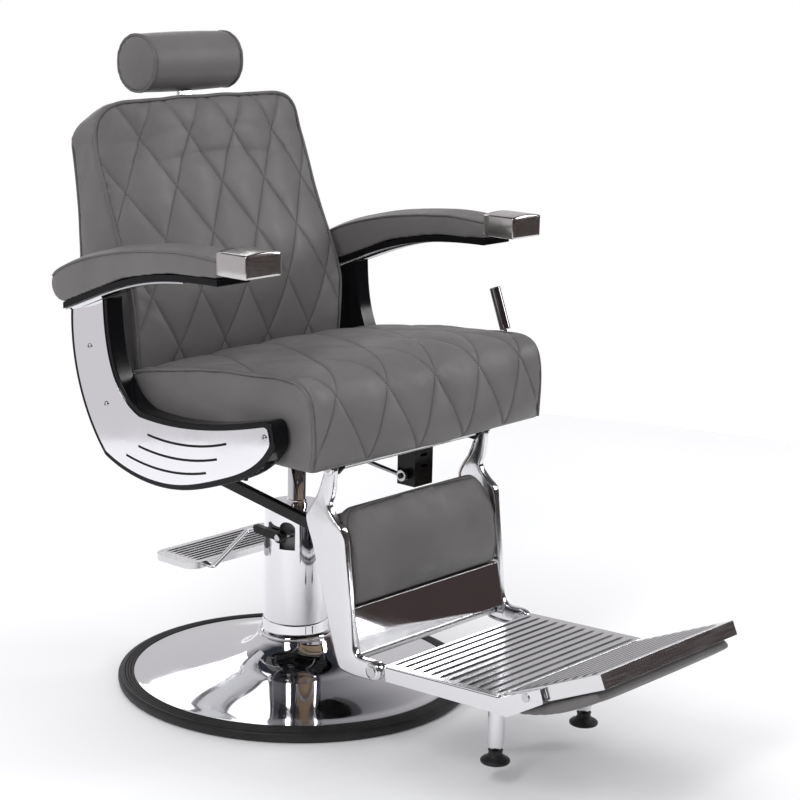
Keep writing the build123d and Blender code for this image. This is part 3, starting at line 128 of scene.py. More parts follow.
def make_materials():
    leather = Surface("leatherette", (0.142, 0.135, 0.133), 0.45, Specular_IOR_Level=0.38)
    leather.vary("Base Color", leather.noise(9), (0.122, 0.117, 0.115), (0.148, 0.142, 0.140))
    leather.vary("Roughness", leather.noise(34), 0.40, 0.53)
    leather.bump(leather.cells(620), 0.30, 0.0005)
    leather.bump(leather.noise(1500, 2), 0.18, 0.0003)
    leather.bump(leather.noise(55, 2), 0.10, 0.002)

    piping = Surface("welt_leatherette", (0.115, 0.111, 0.109), 0.42, Specular_IOR_Level=0.4)
    piping.vary("Base Color", piping.noise(25), (0.103, 0.099, 0.097), (0.127, 0.122, 0.120))
    piping.bump(piping.cells(700), 0.25, 0.0004)

    thread = Surface("thread", (0.27, 0.262, 0.26), 0.7)
    thread.vary("Base Color", thread.noise(300), (0.055, 0.053, 0.052), (0.09, 0.087, 0.085))
    thread.bump(thread.noise(2600, 2), 0.5, 0.0003)

    chrome = Surface("mirror_chrome", (0.80, 0.80, 0.82), 0.05, 1.0)
    chrome.vary("Roughness", chrome.noise(14), 0.035, 0.085)
    chrome.bump(chrome.noise(7, 1), 0.05, 0.002)

    panel = Surface("mirror_panel", (0.92, 0.92, 0.95), 0.05, 1.0)
    panel.vary("Roughness", panel.noise(11), 0.05, 0.10)
    panel.bump(panel.noise(60, 2), 0.02, 0.001)

    dark = Surface("dark_chrome", (0.36, 0.36, 0.38), 0.12, 1.0)
    dark.vary("Roughness", dark.noise(40), 0.09, 0.18)

    cast = Surface("polished_casting", (0.74, 0.74, 0.755), 0.14, 1.0)
    cast.vary("Roughness", cast.noise(30), 0.09, 0.20)
    cast.bump(cast.noise(90, 3), 0.10, 0.0010)

    satin = Surface("satin_aluminium", (0.62, 0.60, 0.59), 0.2, 1.0)
    satin.vary("Roughness", satin.noise(1.0, 3, (40, 900, 900)), 0.16, 0.26)
    satin.bump(satin.noise(1.0, 3, (30, 1200, 1200)), 0.03, 0.0004)

    ribbed = Surface("ribbed_steel", (0.70, 0.70, 0.71), 0.18, 1.0)
    ribbed.vary("Roughness", ribbed.noise(1.0, 3, (20, 500, 500)), 0.13, 0.25)
    ribbed.bump(ribbed.noise(1.0, 3, (12, 700, 700)), 0.06, 0.0004)

    steel = Surface("turned_steel", (0.58, 0.58, 0.59), 0.28, 1.0)
    steel.vary("Roughness", steel.noise(80), 0.22, 0.36)
    steel.bump(steel.noise(420, 2), 0.08, 0.0003)

    paint = Surface("black_paint", (0.006, 0.006, 0.007), 0.32, Specular_IOR_Level=0.28)
    paint.vary("Roughness", paint.noise(60), 0.26, 0.40)
    paint.bump(paint.noise(500, 2), 0.10, 0.0004)

    gloss = Surface("black_gloss", (0.004, 0.004, 0.005), 0.12, Specular_IOR_Level=0.22)
    gloss.vary("Roughness", gloss.noise(20), 0.10, 0.19)
    gloss.bump(gloss.noise(40, 2), 0.03, 0.001)

    grey = Surface("grey_paint", (0.22, 0.22, 0.225), 0.42)
    grey.vary("Base Color", grey.noise(18), (0.19, 0.19, 0.195), (0.25, 0.25, 0.255))
    grey.bump(grey.noise(300, 2), 0.12, 0.0005)

    rubber = Surface("black_rubber", (0.010, 0.010, 0.011), 0.5, Specular_IOR_Level=0.4)
    rubber.vary("Base Color", rubber.noise(22), (0.007, 0.007, 0.008), (0.016, 0.016, 0.017))
    rubber.bump(rubber.noise(700, 2), 0.30, 0.0004)

    wood = Surface("plywood", (0.50, 0.36, 0.22), 0.6)
    wood.vary("Base Color", wood.noise(1.0, 4, (9, 90, 90)), (0.40, 0.28, 0.16), (0.58, 0.43, 0.28))
    wood.bump(wood.noise(1.0, 4, (20, 400, 400)), 0.20, 0.0006)

    iron = Surface("cast_iron", (0.05, 0.05, 0.052), 0.6, 0.6)
    iron.vary("Base Color", iron.noise(30), (0.035, 0.035, 0.037), (0.07, 0.07, 0.072))
    iron.bump(iron.noise(260, 3), 0.5, 0.001)
    return {
        "grey_leatherette": leather, "piping": piping, "thread": thread, "chrome": chrome, "panel": panel,
        "dark_chrome": dark, "cast_aluminium": cast, "satin_aluminium": satin, "ribbed_steel": ribbed,
        "plain_steel": steel, "black_metal": paint, "black_panel": gloss, "grey_metal": grey,
        "black_rubber": rubber, "plywood": wood, "cast_iron": iron,
    }


FINISH = {slot: surface.mat for slot, surface in make_materials().items()}


# --- Meshes -------------------------------------------------------------------------------------
def settle(piece, body, slot, finish=None, smooth=40.0):
    """Gives a finished piece its material, chosen by slot or finish, smooth shading and its body."""
    piece.data.materials.clear()
    piece.data.materials.append(FINISH[finish or slot])
    piece.data.shade_smooth()
    if smooth:
        piece.data.set_sharp_from_angle(angle=math.radians(smooth))
    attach(piece, body)
    return piece


def add(name, vertices, faces):
    mesh = bpy.data.meshes.new(name)
    mesh.from_pydata([tuple(v) for v in vertices], [], [tuple(f) for f in faces])
    mesh.validate()
    piece = bpy.data.objects.new(name, mesh)
    scene.collection.objects.link(piece)
    return piece


def bake(piece):
    """Applies every modifier of a piece to its mesh."""
    bpy.context.view_layer.update()
    shaped = piece.evaluated_get(bpy.context.evaluated_depsgraph_get())
    mesh = bpy.data.meshes.new_from_object(shaped)
    mesh.name = piece.name
    piece.modifiers.clear()
    piece.data = mesh


def points_of(piece):
    flat = np.empty(len(piece.data.vertices) * 3, np.float32)
    piece.data.vertices.foreach_get("co", flat)
    return flat.reshape(-1, 3).astype(float)


def normals_of(piece):
    flat = np.empty(len(piece.data.vertices) * 3, np.float32)
    piece.data.vertex_normals.foreach_get("vector", flat)
    return flat.reshape(-1, 3).astype(float)


def move(piece, points):
    piece.data.vertices.foreach_set("co", points.astype(np.float32).ravel())
    piece.data.update()


def fair(points, step, closed=False):
    """A smooth line through points, resampled at about the given step."""
    points = np.array(points, float)
    if closed:
        points = np.vstack([points[-2:], points, points[:3]])
    gaps = np.linalg.norm(np.diff(points, axis=0), axis=1)
    at = np.concatenate([[0], np.cumsum(gaps)])
    slope = np.empty_like(points)
    slope[1:-1] = (points[2:] - points[:-2]) / (at[2:] - at[:-2])[:, None]
    slope[0] = (points[1] - points[0]) / gaps[0]
    slope[-1] = (points[-1] - points[-2]) / gaps[-1]
    first, last = (2, len(points) - 3) if closed else (0, len(points) - 1)
    count = max(2, int(round((at[last] - at[first]) / step)))
    where = np.linspace(at[first], at[last], count + 1)
    if closed:
        where = where[:-1]
    i = np.clip(np.searchsorted(at, where, side="right") - 1, 0, len(gaps) - 1)
    h = gaps[i][:, None]
    t = ((where - at[i]) / gaps[i])[:, None]
    return (
        points[i] * (2 * t**3 - 3 * t**2 + 1) + points[i + 1] * (3 * t**2 - 2 * t**3)
        + slope[i] * h * (t**3 - 2 * t**2 + t) + slope[i + 1] * h * (t**3 - t**2)
    )


def straight(start, stop, step):
    count = max(1, int(round(math.dist(start, stop) / step)))
    return np.linspace(start, stop, count + 1)


def ring_faces(rings, around, closed_around=True):
    """Quads between rings of points that are stored one ring after another."""
    wrap = around if closed_around else around - 1
    return [
        (r * around + i, r * around + (i + 1) % around, (r + 1) * around + (i + 1) % around, (r + 1) * around + i)
        for r in range(rings - 1) for i in range(wrap)
    ]


def face_outwards(piece):
    bm = bmesh.new()
    bm.from_mesh(piece.data)
    bmesh.ops.recalc_face_normals(bm, faces=bm.faces)
    bm.to_mesh(piece.data)
    bm.free()


def lathe(name, profile, steps=160, closed=True):
    """Turns (radius, z) points in millimetres about Z."""
    angle = np.arange(steps) * 2 * math.pi / steps
    rows = [[(r * MM * math.cos(a), r * MM * math.sin(a), z * MM) for a in angle] for r, z in profile]
    vertices = [p for row in rows for p in row]
    faces = ring_faces(len(rows), steps)
    if closed:
        last = (len(rows) - 1) * steps
        faces += [(last + i, last + (i + 1) % steps, (i + 1) % steps, i) for i in range(steps)]
    piece = add(name, vertices, faces)
    face_outwards(piece)
    return piece


def tube(name, lines, radius, closed=False, sides=10):
    """Round tubes along lines of points, as one mesh."""
    vertices, faces = [], []
    for line in lines:
        line = np.array(line, float)
        ahead = np.roll(line, -1, axis=0) - np.roll(line, 1, axis=0)
        if not closed:
            ahead[0], ahead[-1] = line[1] - line[0], line[-1] - line[-2]
        ahead /= np.linalg.norm(ahead, axis=1)[:, None]
        up = np.array([0.0, 0.0, 1.0]) if abs(ahead[0][2]) < 0.9 else np.array([1.0, 0.0, 0.0])
        start = len(vertices)
        for centre, way in zip(line, ahead):
            up = up - way * up.dot(way)
            up /= np.linalg.norm(up)
            side = np.cross(way, up)
            for s in range(sides):
                a = 2 * math.pi * s / sides
                vertices.append(centre + radius * (math.cos(a) * up + math.sin(a) * side))
        count = len(line)
        faces += [tuple(start + i for i in face) for face in ring_faces(count, sides)]
        if closed:
            # The frame turns a little on the way round, so the last ring meets the nearest points of the first.
            base = start + (count - 1) * sides
            turn = min(range(sides), key=lambda k: np.linalg.norm(vertices[start + k] - vertices[base]))
            faces += [
                (base + i, base + (i + 1) % sides, start + (i + 1 + turn) % sides, start + (i + turn) % sides)
                for i in range(sides)
            ]
        else:
            faces.append(tuple(start + i for i in reversed(range(sides))))
            faces.append(tuple(start + (count - 1) * sides + i for i in range(sides)))
    return add(name, vertices, faces)


def copy_of(node, name):
    """A clean copy of a CAD node's mesh, with flat faces merged."""
    bm = bmesh.new()
    bm.from_mesh(frame["nodes"][node].data)
    bmesh.ops.remove_doubles(bm, verts=bm.verts, dist=1e-5)
    bmesh.ops.recalc_face_normals(bm, faces=bm.faces)
    bmesh.ops.dissolve_limit(bm, angle_limit=math.radians(1.0), verts=bm.verts, edges=bm.edges)
    mesh = bpy.data.meshes.new(name)
    bm.to_mesh(mesh)
    bm.free()
    for attribute in ("custom_normal", "sharp_edge", "sharp_face"):
        if attribute in mesh.attributes:
            mesh.attributes.remove(mesh.attributes[attribute])
    piece = bpy.data.objects.new(name, mesh)
    scene.collection.objects.link(piece)
    return piece


def round_edges(piece, width, segments=2, angle=32.0):
    """Bevels the sharp edges and keeps the flat faces flat in shading."""
    piece.data.shade_smooth()
    bevel = piece.modifiers.new("bevel", "BEVEL")
    bevel.width = width * MM
    bevel.segments = segments
    bevel.limit_method = "ANGLE"
    bevel.angle_limit = math.radians(angle)
    bevel.harden_normals = True
    bake(piece)


def dress(node, width=0.8, finish=None, segments=2):
    """Stands for a CAD node with the same shape and softened edges."""
    piece = copy_of(node, node + "_finish")
    if width:
        round_edges(piece, width, segments)
    settle(piece, BODY_OF[node], SLOT_OF[node], finish, 0 if width else 35.0)
    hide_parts(node)
    return piece


def flattened(node, origin, lean):
    """A copy of a plate's mesh with what stands above its sloping top pressed down to it."""
    piece = copy_of(node, node + "_finish")
    up = np.array([0, math.sin(lean), math.cos(lean)])
    points = points_of(piece)
    over = (points - np.array([0, *origin]) * MM) @ up
    move(piece, points - np.outer(np.where(over > -2e-5, over, 0), up))
    bm = bmesh.new()
    bm.from_mesh(piece.data)
    bmesh.ops.remove_doubles(bm, verts=bm.verts, dist=1e-5)
    bmesh.ops.dissolve_degenerate(bm, dist=1e-5, edges=bm.edges)
    bmesh.ops.dissolve_limit(bm, angle_limit=math.radians(1.0), verts=bm.verts, edges=bm.edges)
    bm.to_mesh(piece.data)
    bm.free()
    return piece


def beads(name, origin, lean, stations, half_w, width, height, body, slot):
    """Pressed ribs along X on a sloping plate, each running out to a point at both ends."""
    along = np.array([0, -math.cos(lean), math.sin(lean)])
    up = np.array([0, math.sin(lean), math.cos(lean)])
    across = np.linspace(-0.5, 0.5, 13)
    vertices, faces = [], []
    ends = 1 - np.linspace(1, 0, 7) ** 2
    x_at = np.concatenate([-half_w + 16 * np.linspace(0, 1, 7), np.linspace(-half_w + 16, half_w - 16, 9)[1:-1],
                           half_w - 16 * np.linspace(1, 0, 7)])
    size = np.concatenate([ends, np.ones(7), ends[::-1]])
    for station in stations:
        base = len(vertices)
        for x, share in zip(x_at, size):
            share = max(share, 0.02)
            ring = [(t * width * share, height * share * math.cos(math.pi * t) ** 2) for t in across]
            ring += [(0.5 * width * share, -0.5), (-0.5 * width * share, -0.5)]
            for t, h in ring:
                vertices.append(np.array([x, *origin]) + along * (station + t) + up * h)
        count = len(across) + 2
        faces += [tuple(base + i for i in face) for face in ring_faces(len(x_at), count)]
        faces.append(tuple(base + i for i in reversed(range(count))))
        faces.append(tuple(base + (len(x_at) - 1) * count + i for i in range(count)))
    piece = add(name, np.array(vertices) * MM, faces)
    face_outwards(piece)
    return settle(piece, body, slot, smooth=50)


def ribbed(node, origin, lean, stations, half_w, width=8.0, height=2.2, edge=0.9):
    """Stands for a ribbed plate: a sheet with softened edges and a row of pressed ribs."""
    sheet = flattened(node, origin, lean)
    round_edges(sheet, edge, 3)
    settle(sheet, BODY_OF[node], SLOT_OF[node], smooth=0)
    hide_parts(node)
    beads(node + "_ribs", origin, lean, stations, half_w, width, height, BODY_OF[node], SLOT_OF[node])


# --- Soft pieces --------------------------------------------------------------------------------
def sweep(name, outline, crown, half_w, slices, shape=None):
    """A closed form whose (y, z) outline runs along X and stands out by crown in the middle.

    Outline and crown are in millimetres; shape(points, share) may move the points of one slice.
    """
    outline = np.array(outline, float)
    ahead = np.roll(outline, -1, axis=0) - np.roll(outline, 1, axis=0)
    out = np.stack([ahead[:, 1], -ahead[:, 0]], axis=1)
    out /= np.linalg.norm(out, axis=1)[:, None]
    area = np.sum(outline[:, 0] * np.roll(outline[:, 1], -1) - np.roll(outline[:, 0], -1) * outline[:, 1])
    if area < 0:
        out = -out
    vertices = []
    for share in np.linspace(-1, 1, slices):
        flat = outline + out * (np.array(crown) * (1 - share**2))[:, None]
        ring = np.column_stack([np.full(len(flat), share * half_w), flat])
        if shape:
            ring = shape(ring, share)
        vertices.append(ring)
    count = len(outline)
    faces = ring_faces(slices, count)
    faces.append(tuple(reversed(range(count))))
    faces.append(tuple((slices - 1) * count + i for i in range(count)))
    piece = add(name, np.vstack(vertices) * MM, faces)
    face_outwards(piece)
    return piece


def swell(piece, held, pressure, cap, frames=20):
    """Lets a pad swell as cloth under air pressure; held gives how firmly each point is kept."""
    before = points_of(piece)
    weights = np.clip(held(before), 0, 1)
    group = piece.vertex_groups.new(name="held")
    for level in range(1, 11):
        chosen = np.nonzero(np.round(weights * 10) == level)[0]
        if len(chosen):
            group.add(chosen.tolist(), level / 10, "REPLACE")
    cloth = piece.modifiers.new("cloth", "CLOTH")
    settings = cloth.settings
    settings.quality = 5
    settings.mass = 0.3
    settings.tension_stiffness = settings.compression_stiffness = settings.shear_stiffness = 22
    settings.bending_stiffness = 1.2
    settings.vertex_group_mass = "held"
    settings.pin_stiffness = 1.0
    settings.use_pressure = True
    settings.uniform_pressure_force = pressure
    settings.effector_weights.gravity = 0
    cloth.collision_settings.use_collision = False
    cloth.point_cache.frame_start, cloth.point_cache.frame_end = 1, frames
    for number in range(1, frames + 1):
        scene.frame_set(number)
    shaped = piece.evaluated_get(bpy.context.evaluated_depsgraph_get())
    flat = np.empty(len(shaped.data.vertices) * 3, np.float32)
    shaped.data.vertices.foreach_get("co", flat)
    moved = flat.reshape(-1, 3).astype(float) - before
    piece.modifiers.clear()
    piece.vertex_groups.clear()
    scene.frame_set(1)
    length = np.linalg.norm(moved, axis=1)[:, None]
    cap *= MM
    move(piece, before + moved * cap / np.sqrt(length**2 + cap**2))


def pad(piece, voxel, held, cap, levels, pressure=4.0, relax=4):
    """Remeshes a form, lets it swell and subdivides it."""
    remesh = piece.modifiers.new("remesh", "REMESH")
    remesh.mode = "VOXEL"
    remesh.voxel_size = voxel * MM
    ease = piece.modifiers.new("ease", "SMOOTH")
    ease.factor, ease.iterations = 0.5, relax
    bake(piece)
    swell(piece, held, pressure, cap)
    finer = piece.modifiers.new("finer", "SUBSURF")
    finer.levels = finer.render_levels = levels
    bake(piece)
    return piece


def step(value, low, high):
    """0 below low, 1 above high, smooth between."""
    t = np.clip((value - low) / (high - low), 0, 1)
    return t * t * (3 - 2 * t)


class Path:
    """A (y, z) line in millimetres, with the length along it of any point beside it."""

    def __init__(self, line):
        self.line = np.array(line, float) * MM
        gaps = np.linalg.norm(np.diff(self.line, axis=0), axis=1)
        self.at = np.concatenate([[0], np.cumsum(gaps)])
        ahead = np.gradient(self.line, axis=0)
        self.ahead = ahead / np.linalg.norm(ahead, axis=1)[:, None]
        self.length = self.at[-1]

    def along(self, points):
        found = np.empty(len(points))
        apart = np.empty(len(points))
        for low in range(0, len(points), 20000):
            part = points[low:low + 20000, 1:]
            gap = np.linalg.norm(part[:, None, :] - self.line[None], axis=2)
            near = gap.argmin(axis=1)
            found[low:low + 20000] = self.at[near] + ((part - self.line[near]) * self.ahead[near]).sum(axis=1)
            apart[low:low + 20000] = gap.min(axis=1)
        return found, apart

    def point(self, length):
        return np.array([np.interp(length, self.at, self.line[:, i]) for i in (0, 1)])

    def way(self, length):
        return np.array([np.interp(length, self.at, self.ahead[:, i]) for i in (0, 1)])


class Diamonds:
    """Two families of slanted stitch lines over a path: rows of diamonds, mirrored about the middle."""

    def __init__(self, path, width, height, crossing):
        self.path, self.width, self.height, self.crossing = path, width * MM, height * MM, crossing * MM

    def distances(self, x, v):
        scale = math.hypot(1 / self.width, 1 / self.height)
        return [
            np.abs(value - np.round(value)) / scale
            for value in (x / self.width + (v - self.crossing) / self.height,
                          x / self.width - (v - self.crossing) / self.height)
        ]

    def puff(self, piece, region, rise, spread=0.015, groove=0.0016, narrow=0.0022):
        points, normals = points_of(piece), normals_of(piece)
        v, _ = self.path.along(points)
        one, two = self.distances(points[:, 0], v)
        inside = region(points, v)
        pillow = (1 - np.exp(-one / spread)) * (1 - np.exp(-two / spread))
        near = np.minimum(one, two)
        height = rise * MM * (pillow - 0.35) - groove * np.exp(-((near / narrow) ** 2))
        move(piece, points + normals * (height * inside)[:, None])

    def tracks(self, half_w, low, high, pitch=0.0052):
        """Where the needle goes: lists of (x, v) along every line inside the region."""
        made = []
        for sign in (1, -1):
            reach = int((half_w + (high - low)) / self.width) + 3
            for k in range(-3 * reach, 3 * reach):
                line = []
                slope = math.hypot(1, self.width / self.height)
                for v in np.arange(low, high, pitch / slope):
                    x = self.width * (k - sign * (v - self.crossing) / self.height)
                    if abs(x) < half_w:
                        line.append((x, v))
                if len(line) > 4:
                    made.append(line)
        return made


def capsule(sides=6):
    """A stitch of unit length and radius along +X, as points and faces."""
    rings = [(-0.5, 0.0), (-0.42, 0.75), (0.0, 1.0), (0.42, 0.75), (0.5, 0.0)]
    points = [
        (x, r * math.cos(2 * math.pi * s / sides), r * math.sin(2 * math.pi * s / sides))
        for x, r in rings[1:-1] for s in range(sides)
    ]
    faces = ring_faces(3, sides)
    points += [(-0.5, 0, 0), (0.5, 0, 0)]
    faces += [(3 * sides, (i + 1) % sides, i) for i in range(sides)]
    faces += [(3 * sides + 1, 2 * sides + i, 2 * sides + (i + 1) % sides) for i in range(sides)]
    return np.array(points), faces


def stitches(name, hits, length=3.4, radius=0.55):
    """Stitches between pairs of (place, normal) hits, as one mesh."""
    shape, shape_faces = capsule()
    vertices, faces = [], []
    for (start, normal), (stop, _) in hits:
        way = stop - start
        size = way.length
        if size < 1e-4 or size > 0.02:
            continue
        way /= size
        side = normal.cross(way)
        if side.length < 0.1:
            continue
        side.normalize()
        up = way.cross(side)
        centre = (start + stop) / 2 + up * (0.25 * MM)
        basis = np.array([way * (length * MM), side * (radius * MM), up * (radius * MM)])
        base = len(vertices)
        vertices.extend(shape @ basis + np.array(centre))
        faces.extend(tuple(base + i for i in face) for face in shape_faces)
    return add(name, vertices, faces)


def hit(piece, origin, way):
    found, place, normal, _ = piece.ray_cast(Vector(origin), Vector(way))
    return (place, normal) if found else None


def quilt_stitches(name, piece, diamonds, half_w, low, high):
    bpy.context.view_layer.update()
    pairs = []
    for line in diamonds.tracks(half_w, low, high):
        struck = []
        for x, v in line:
            y, z = diamonds.path.point(v)
            way_y, way_z = diamonds.path.way(v)
            inwards = np.array([0.0, -way_z, way_y]) * diamonds.inwards
            struck.append(hit(piece, np.array([x, y, z]) - inwards * 0.08, inwards))
        pairs += [(a, b) for a, b in zip(struck[::1], struck[1::1]) if a and b][::1]
    return stitches(name, pairs)


def on_surface(piece, line, lift=0.0):
    """Moves each point of a line to the nearest place on a piece, lifted off it."""
    bpy.context.view_layer.update()
    made = []
    for point in line:
        found, place, normal, _ = piece.closest_point_on_mesh(Vector(point))
        made.append(place + normal * lift * MM if found else Vector(point))
    return np.array([tuple(p) for p in made])


def eased(line, rounds=6, closed=False):
    """Evens out a line of points."""
    line = np.array(line, float)
    for _ in range(rounds):
        middle = (np.roll(line, 1, axis=0) + np.roll(line, -1, axis=0)) / 2
        if closed:
            line = (line + middle) / 2
        else:
            line[1:-1] = (line[1:-1] + middle[1:-1]) / 2
    return line


def tuck(piece, lines, depth, width, pucker=0.0):
    """Pulls a piece in along seams, with small gathers beside them."""
    from mathutils.kdtree import KDTree
    seam = np.vstack(lines)
    tree = KDTree(len(seam))
    for i, point in enumerate(seam):
        tree.insert(point, i)
    tree.balance()
    points, normals = points_of(piece), normals_of(piece)
    low, high = seam.min(axis=0) - 4 * width * MM, seam.max(axis=0) + 4 * width * MM
    shift = np.zeros(len(points))
    for i in np.nonzero(np.all((points > low) & (points < high), axis=1))[0]:
        _, index, gap = tree.find(points[i])
        gap /= MM
        if gap < 4 * width:
            gather = pucker * math.sin(index * 0.9 + 2.0 * math.sin(index * 0.31)) * math.exp(-((gap - width) / width) ** 2)
            shift[i] = -depth * math.exp(-((gap / width) ** 2)) + gather
    move(piece, points + normals * (shift * MM)[:, None])


def upholster(piece, body, nodes):
    settle(piece, body, "grey_leatherette", smooth=0)
    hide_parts(*nodes)
    return piece


def piped(name, lines, body, radius=2.9, closed=True):
    return settle(tube(name, lines, radius * MM, closed, 8), body, "grey_leatherette", "piping", 0)


# --- Seat ---------------------------------------------------------------------------------------
SEAT_HALF = 285.0
SEAT_EDGE = [
    (122, 603), (72, 613), (22, 621), (-52, 633), (-100, 638), (-147, 641), (-193, 644), (-239, 646),
    (-279, 646), (-296, 640), (-309, 626), (-316, 598), (-320, 558), (-320, 526), (-317, 500),
]


def corner(points, share, axis_value, reach):
    """Draws in the sides of a slice where it comes within reach of an end, as a round corner."""
    over = np.clip(reach - axis_value, 0, reach)
    points[:, 0] -= np.sign(share) * abs(share) ** 6 * (reach - np.sqrt(reach**2 - over**2))
    return points


SEAT_FLARE = 13.0


def make_seat():
    top = fair(SEAT_EDGE, 6)
    rear = straight((122, 603), (123, 500), 8)[1:]
    bottom = straight((-317, 500), (123, 500), 8)[1:-1]
    outline = np.vstack([rear[::-1], top, bottom])
    height = outline[:, 1]
    front = step(-outline[:, 0], 270, 312)
    upper = step(height, 585, 625) * (1 - front)
    crown = 13 * upper * step(122 - outline[:, 0], 0, 70) + front * (10 + 10 * step(600 - height, 0, 60))
    crown *= step(height, 500, 512)

    def shape(points, share):
        points = corner(points, share, points[:, 1] + 322, 15)
        points[:, 0] += share * SEAT_FLARE * step(-points[:, 1], 225, 300)
        return points

    seat = sweep("seat_upholstery", outline, crown, SEAT_HALF, 97, shape)

    def held(points):
        half = SEAT_HALF + SEAT_FLARE * step(-points[:, 1] / MM, 225, 300)
        sides = step(np.abs(points[:, 0]) / MM - half, -10, -4)
        low = 1 - step(points[:, 2] / MM, 503, 512)
        back = step(points[:, 1] / MM, 112, 119)
        return np.maximum.reduce([0.9 * sides, low, back])

    pad(seat, 7.5, held, 9, 2)
    path = Path(top)
    diamonds = Diamonds(path, 118, 230, path.along(np.array([[0, -0.311, 0.620]]))[0][0] / MM)
    diamonds.inwards = -1

    def region(points, v):
        half = SEAT_HALF + SEAT_FLARE * step(-points[:, 1] / MM, 225, 300)
        inside = step(half - np.abs(points[:, 0]) / MM, 4, 13)
        upper = step(points[:, 2] / MM, 503, 512)
        ends = step(v, 0.004, 0.020) * step(path.length - v, -0.004, 0.004)
        return inside * upper * ends

    diamonds.puff(seat, region, 5.5)
    widths = SEAT_HALF + 1 + SEAT_FLARE * step(-top[:, 0], 225, 300)
    edge = np.column_stack([widths, top]) * MM
    lines = []
    for side in (1, -1):
        line = edge * [side, 1, 1]
        lines.append(eased(on_surface(seat, line, 0.8), 8))
    hem = [on_surface(seat, [(x, -0.318, 0.503) for x in np.linspace(-0.27, 0.27, 120)], 0.0)]
    tuck(seat, lines, 1.8, 5.0, 0.35)
    tuck(seat, hem, 1.0, 4.0)
    upholster(seat, "seat", ["seat_cushion"])
    piped("seat_piping", lines, "seat", 3.3, False)
    threads = quilt_stitches("seat_stitches", seat, diamonds, (SEAT_HALF - 7) * MM, 0.008, path.length - 0.008)
    settle(threads, "seat", "grey_leatherette", "thread", 0)


# --- Back ---------------------------------------------------------------------------------------
BACK_FRONT = [
    (136, 567), (138, 611), (136, 641), (139, 685), (145, 720), (152, 745), (165, 778), (180, 809), (199, 852),
    (213, 886), (225, 920), (235, 945), (243, 970), (248, 988), (251, 1006), (252, 1024), (252, 1040), (252, 1056),
]
BACK_REAR = [
    (252, 1056), (265, 1055), (282, 1047), (299, 1035), (314, 1020), (324, 1002), (329, 980), (327, 954),
    (322, 910), (315, 857), (308, 805), (303, 773), (297, 670), (292, 567),
]
BACK_TOP_Z, BACK_CORNER, BACK_ARCH = 1056.0, 62.0, 6.0


def back_width(z):
    return np.interp(z, [567, 611, 641, 685, 745, 809, 852, 886, 970, 1060],
                     [257, 258, 261, 264.5, 264.5, 261.5, 259.5, 260, 260, 258])


def top_drop(x):
    """How far the back's top edge lies below its middle at x, in millimetres: a low arch with round corners."""
    x = np.abs(x)
    over = np.clip(x - (258 - BACK_CORNER), 0, BACK_CORNER)
    return BACK_ARCH * np.clip(x / 196, 0, 1) ** 2 + BACK_CORNER - np.sqrt(BACK_CORNER**2 - over**2)


def drop_corner(points, share):
    points[:, 2] -= top_drop(258 * share) * np.clip((points[:, 2] - 960) / 96, 0, 1)
    return points


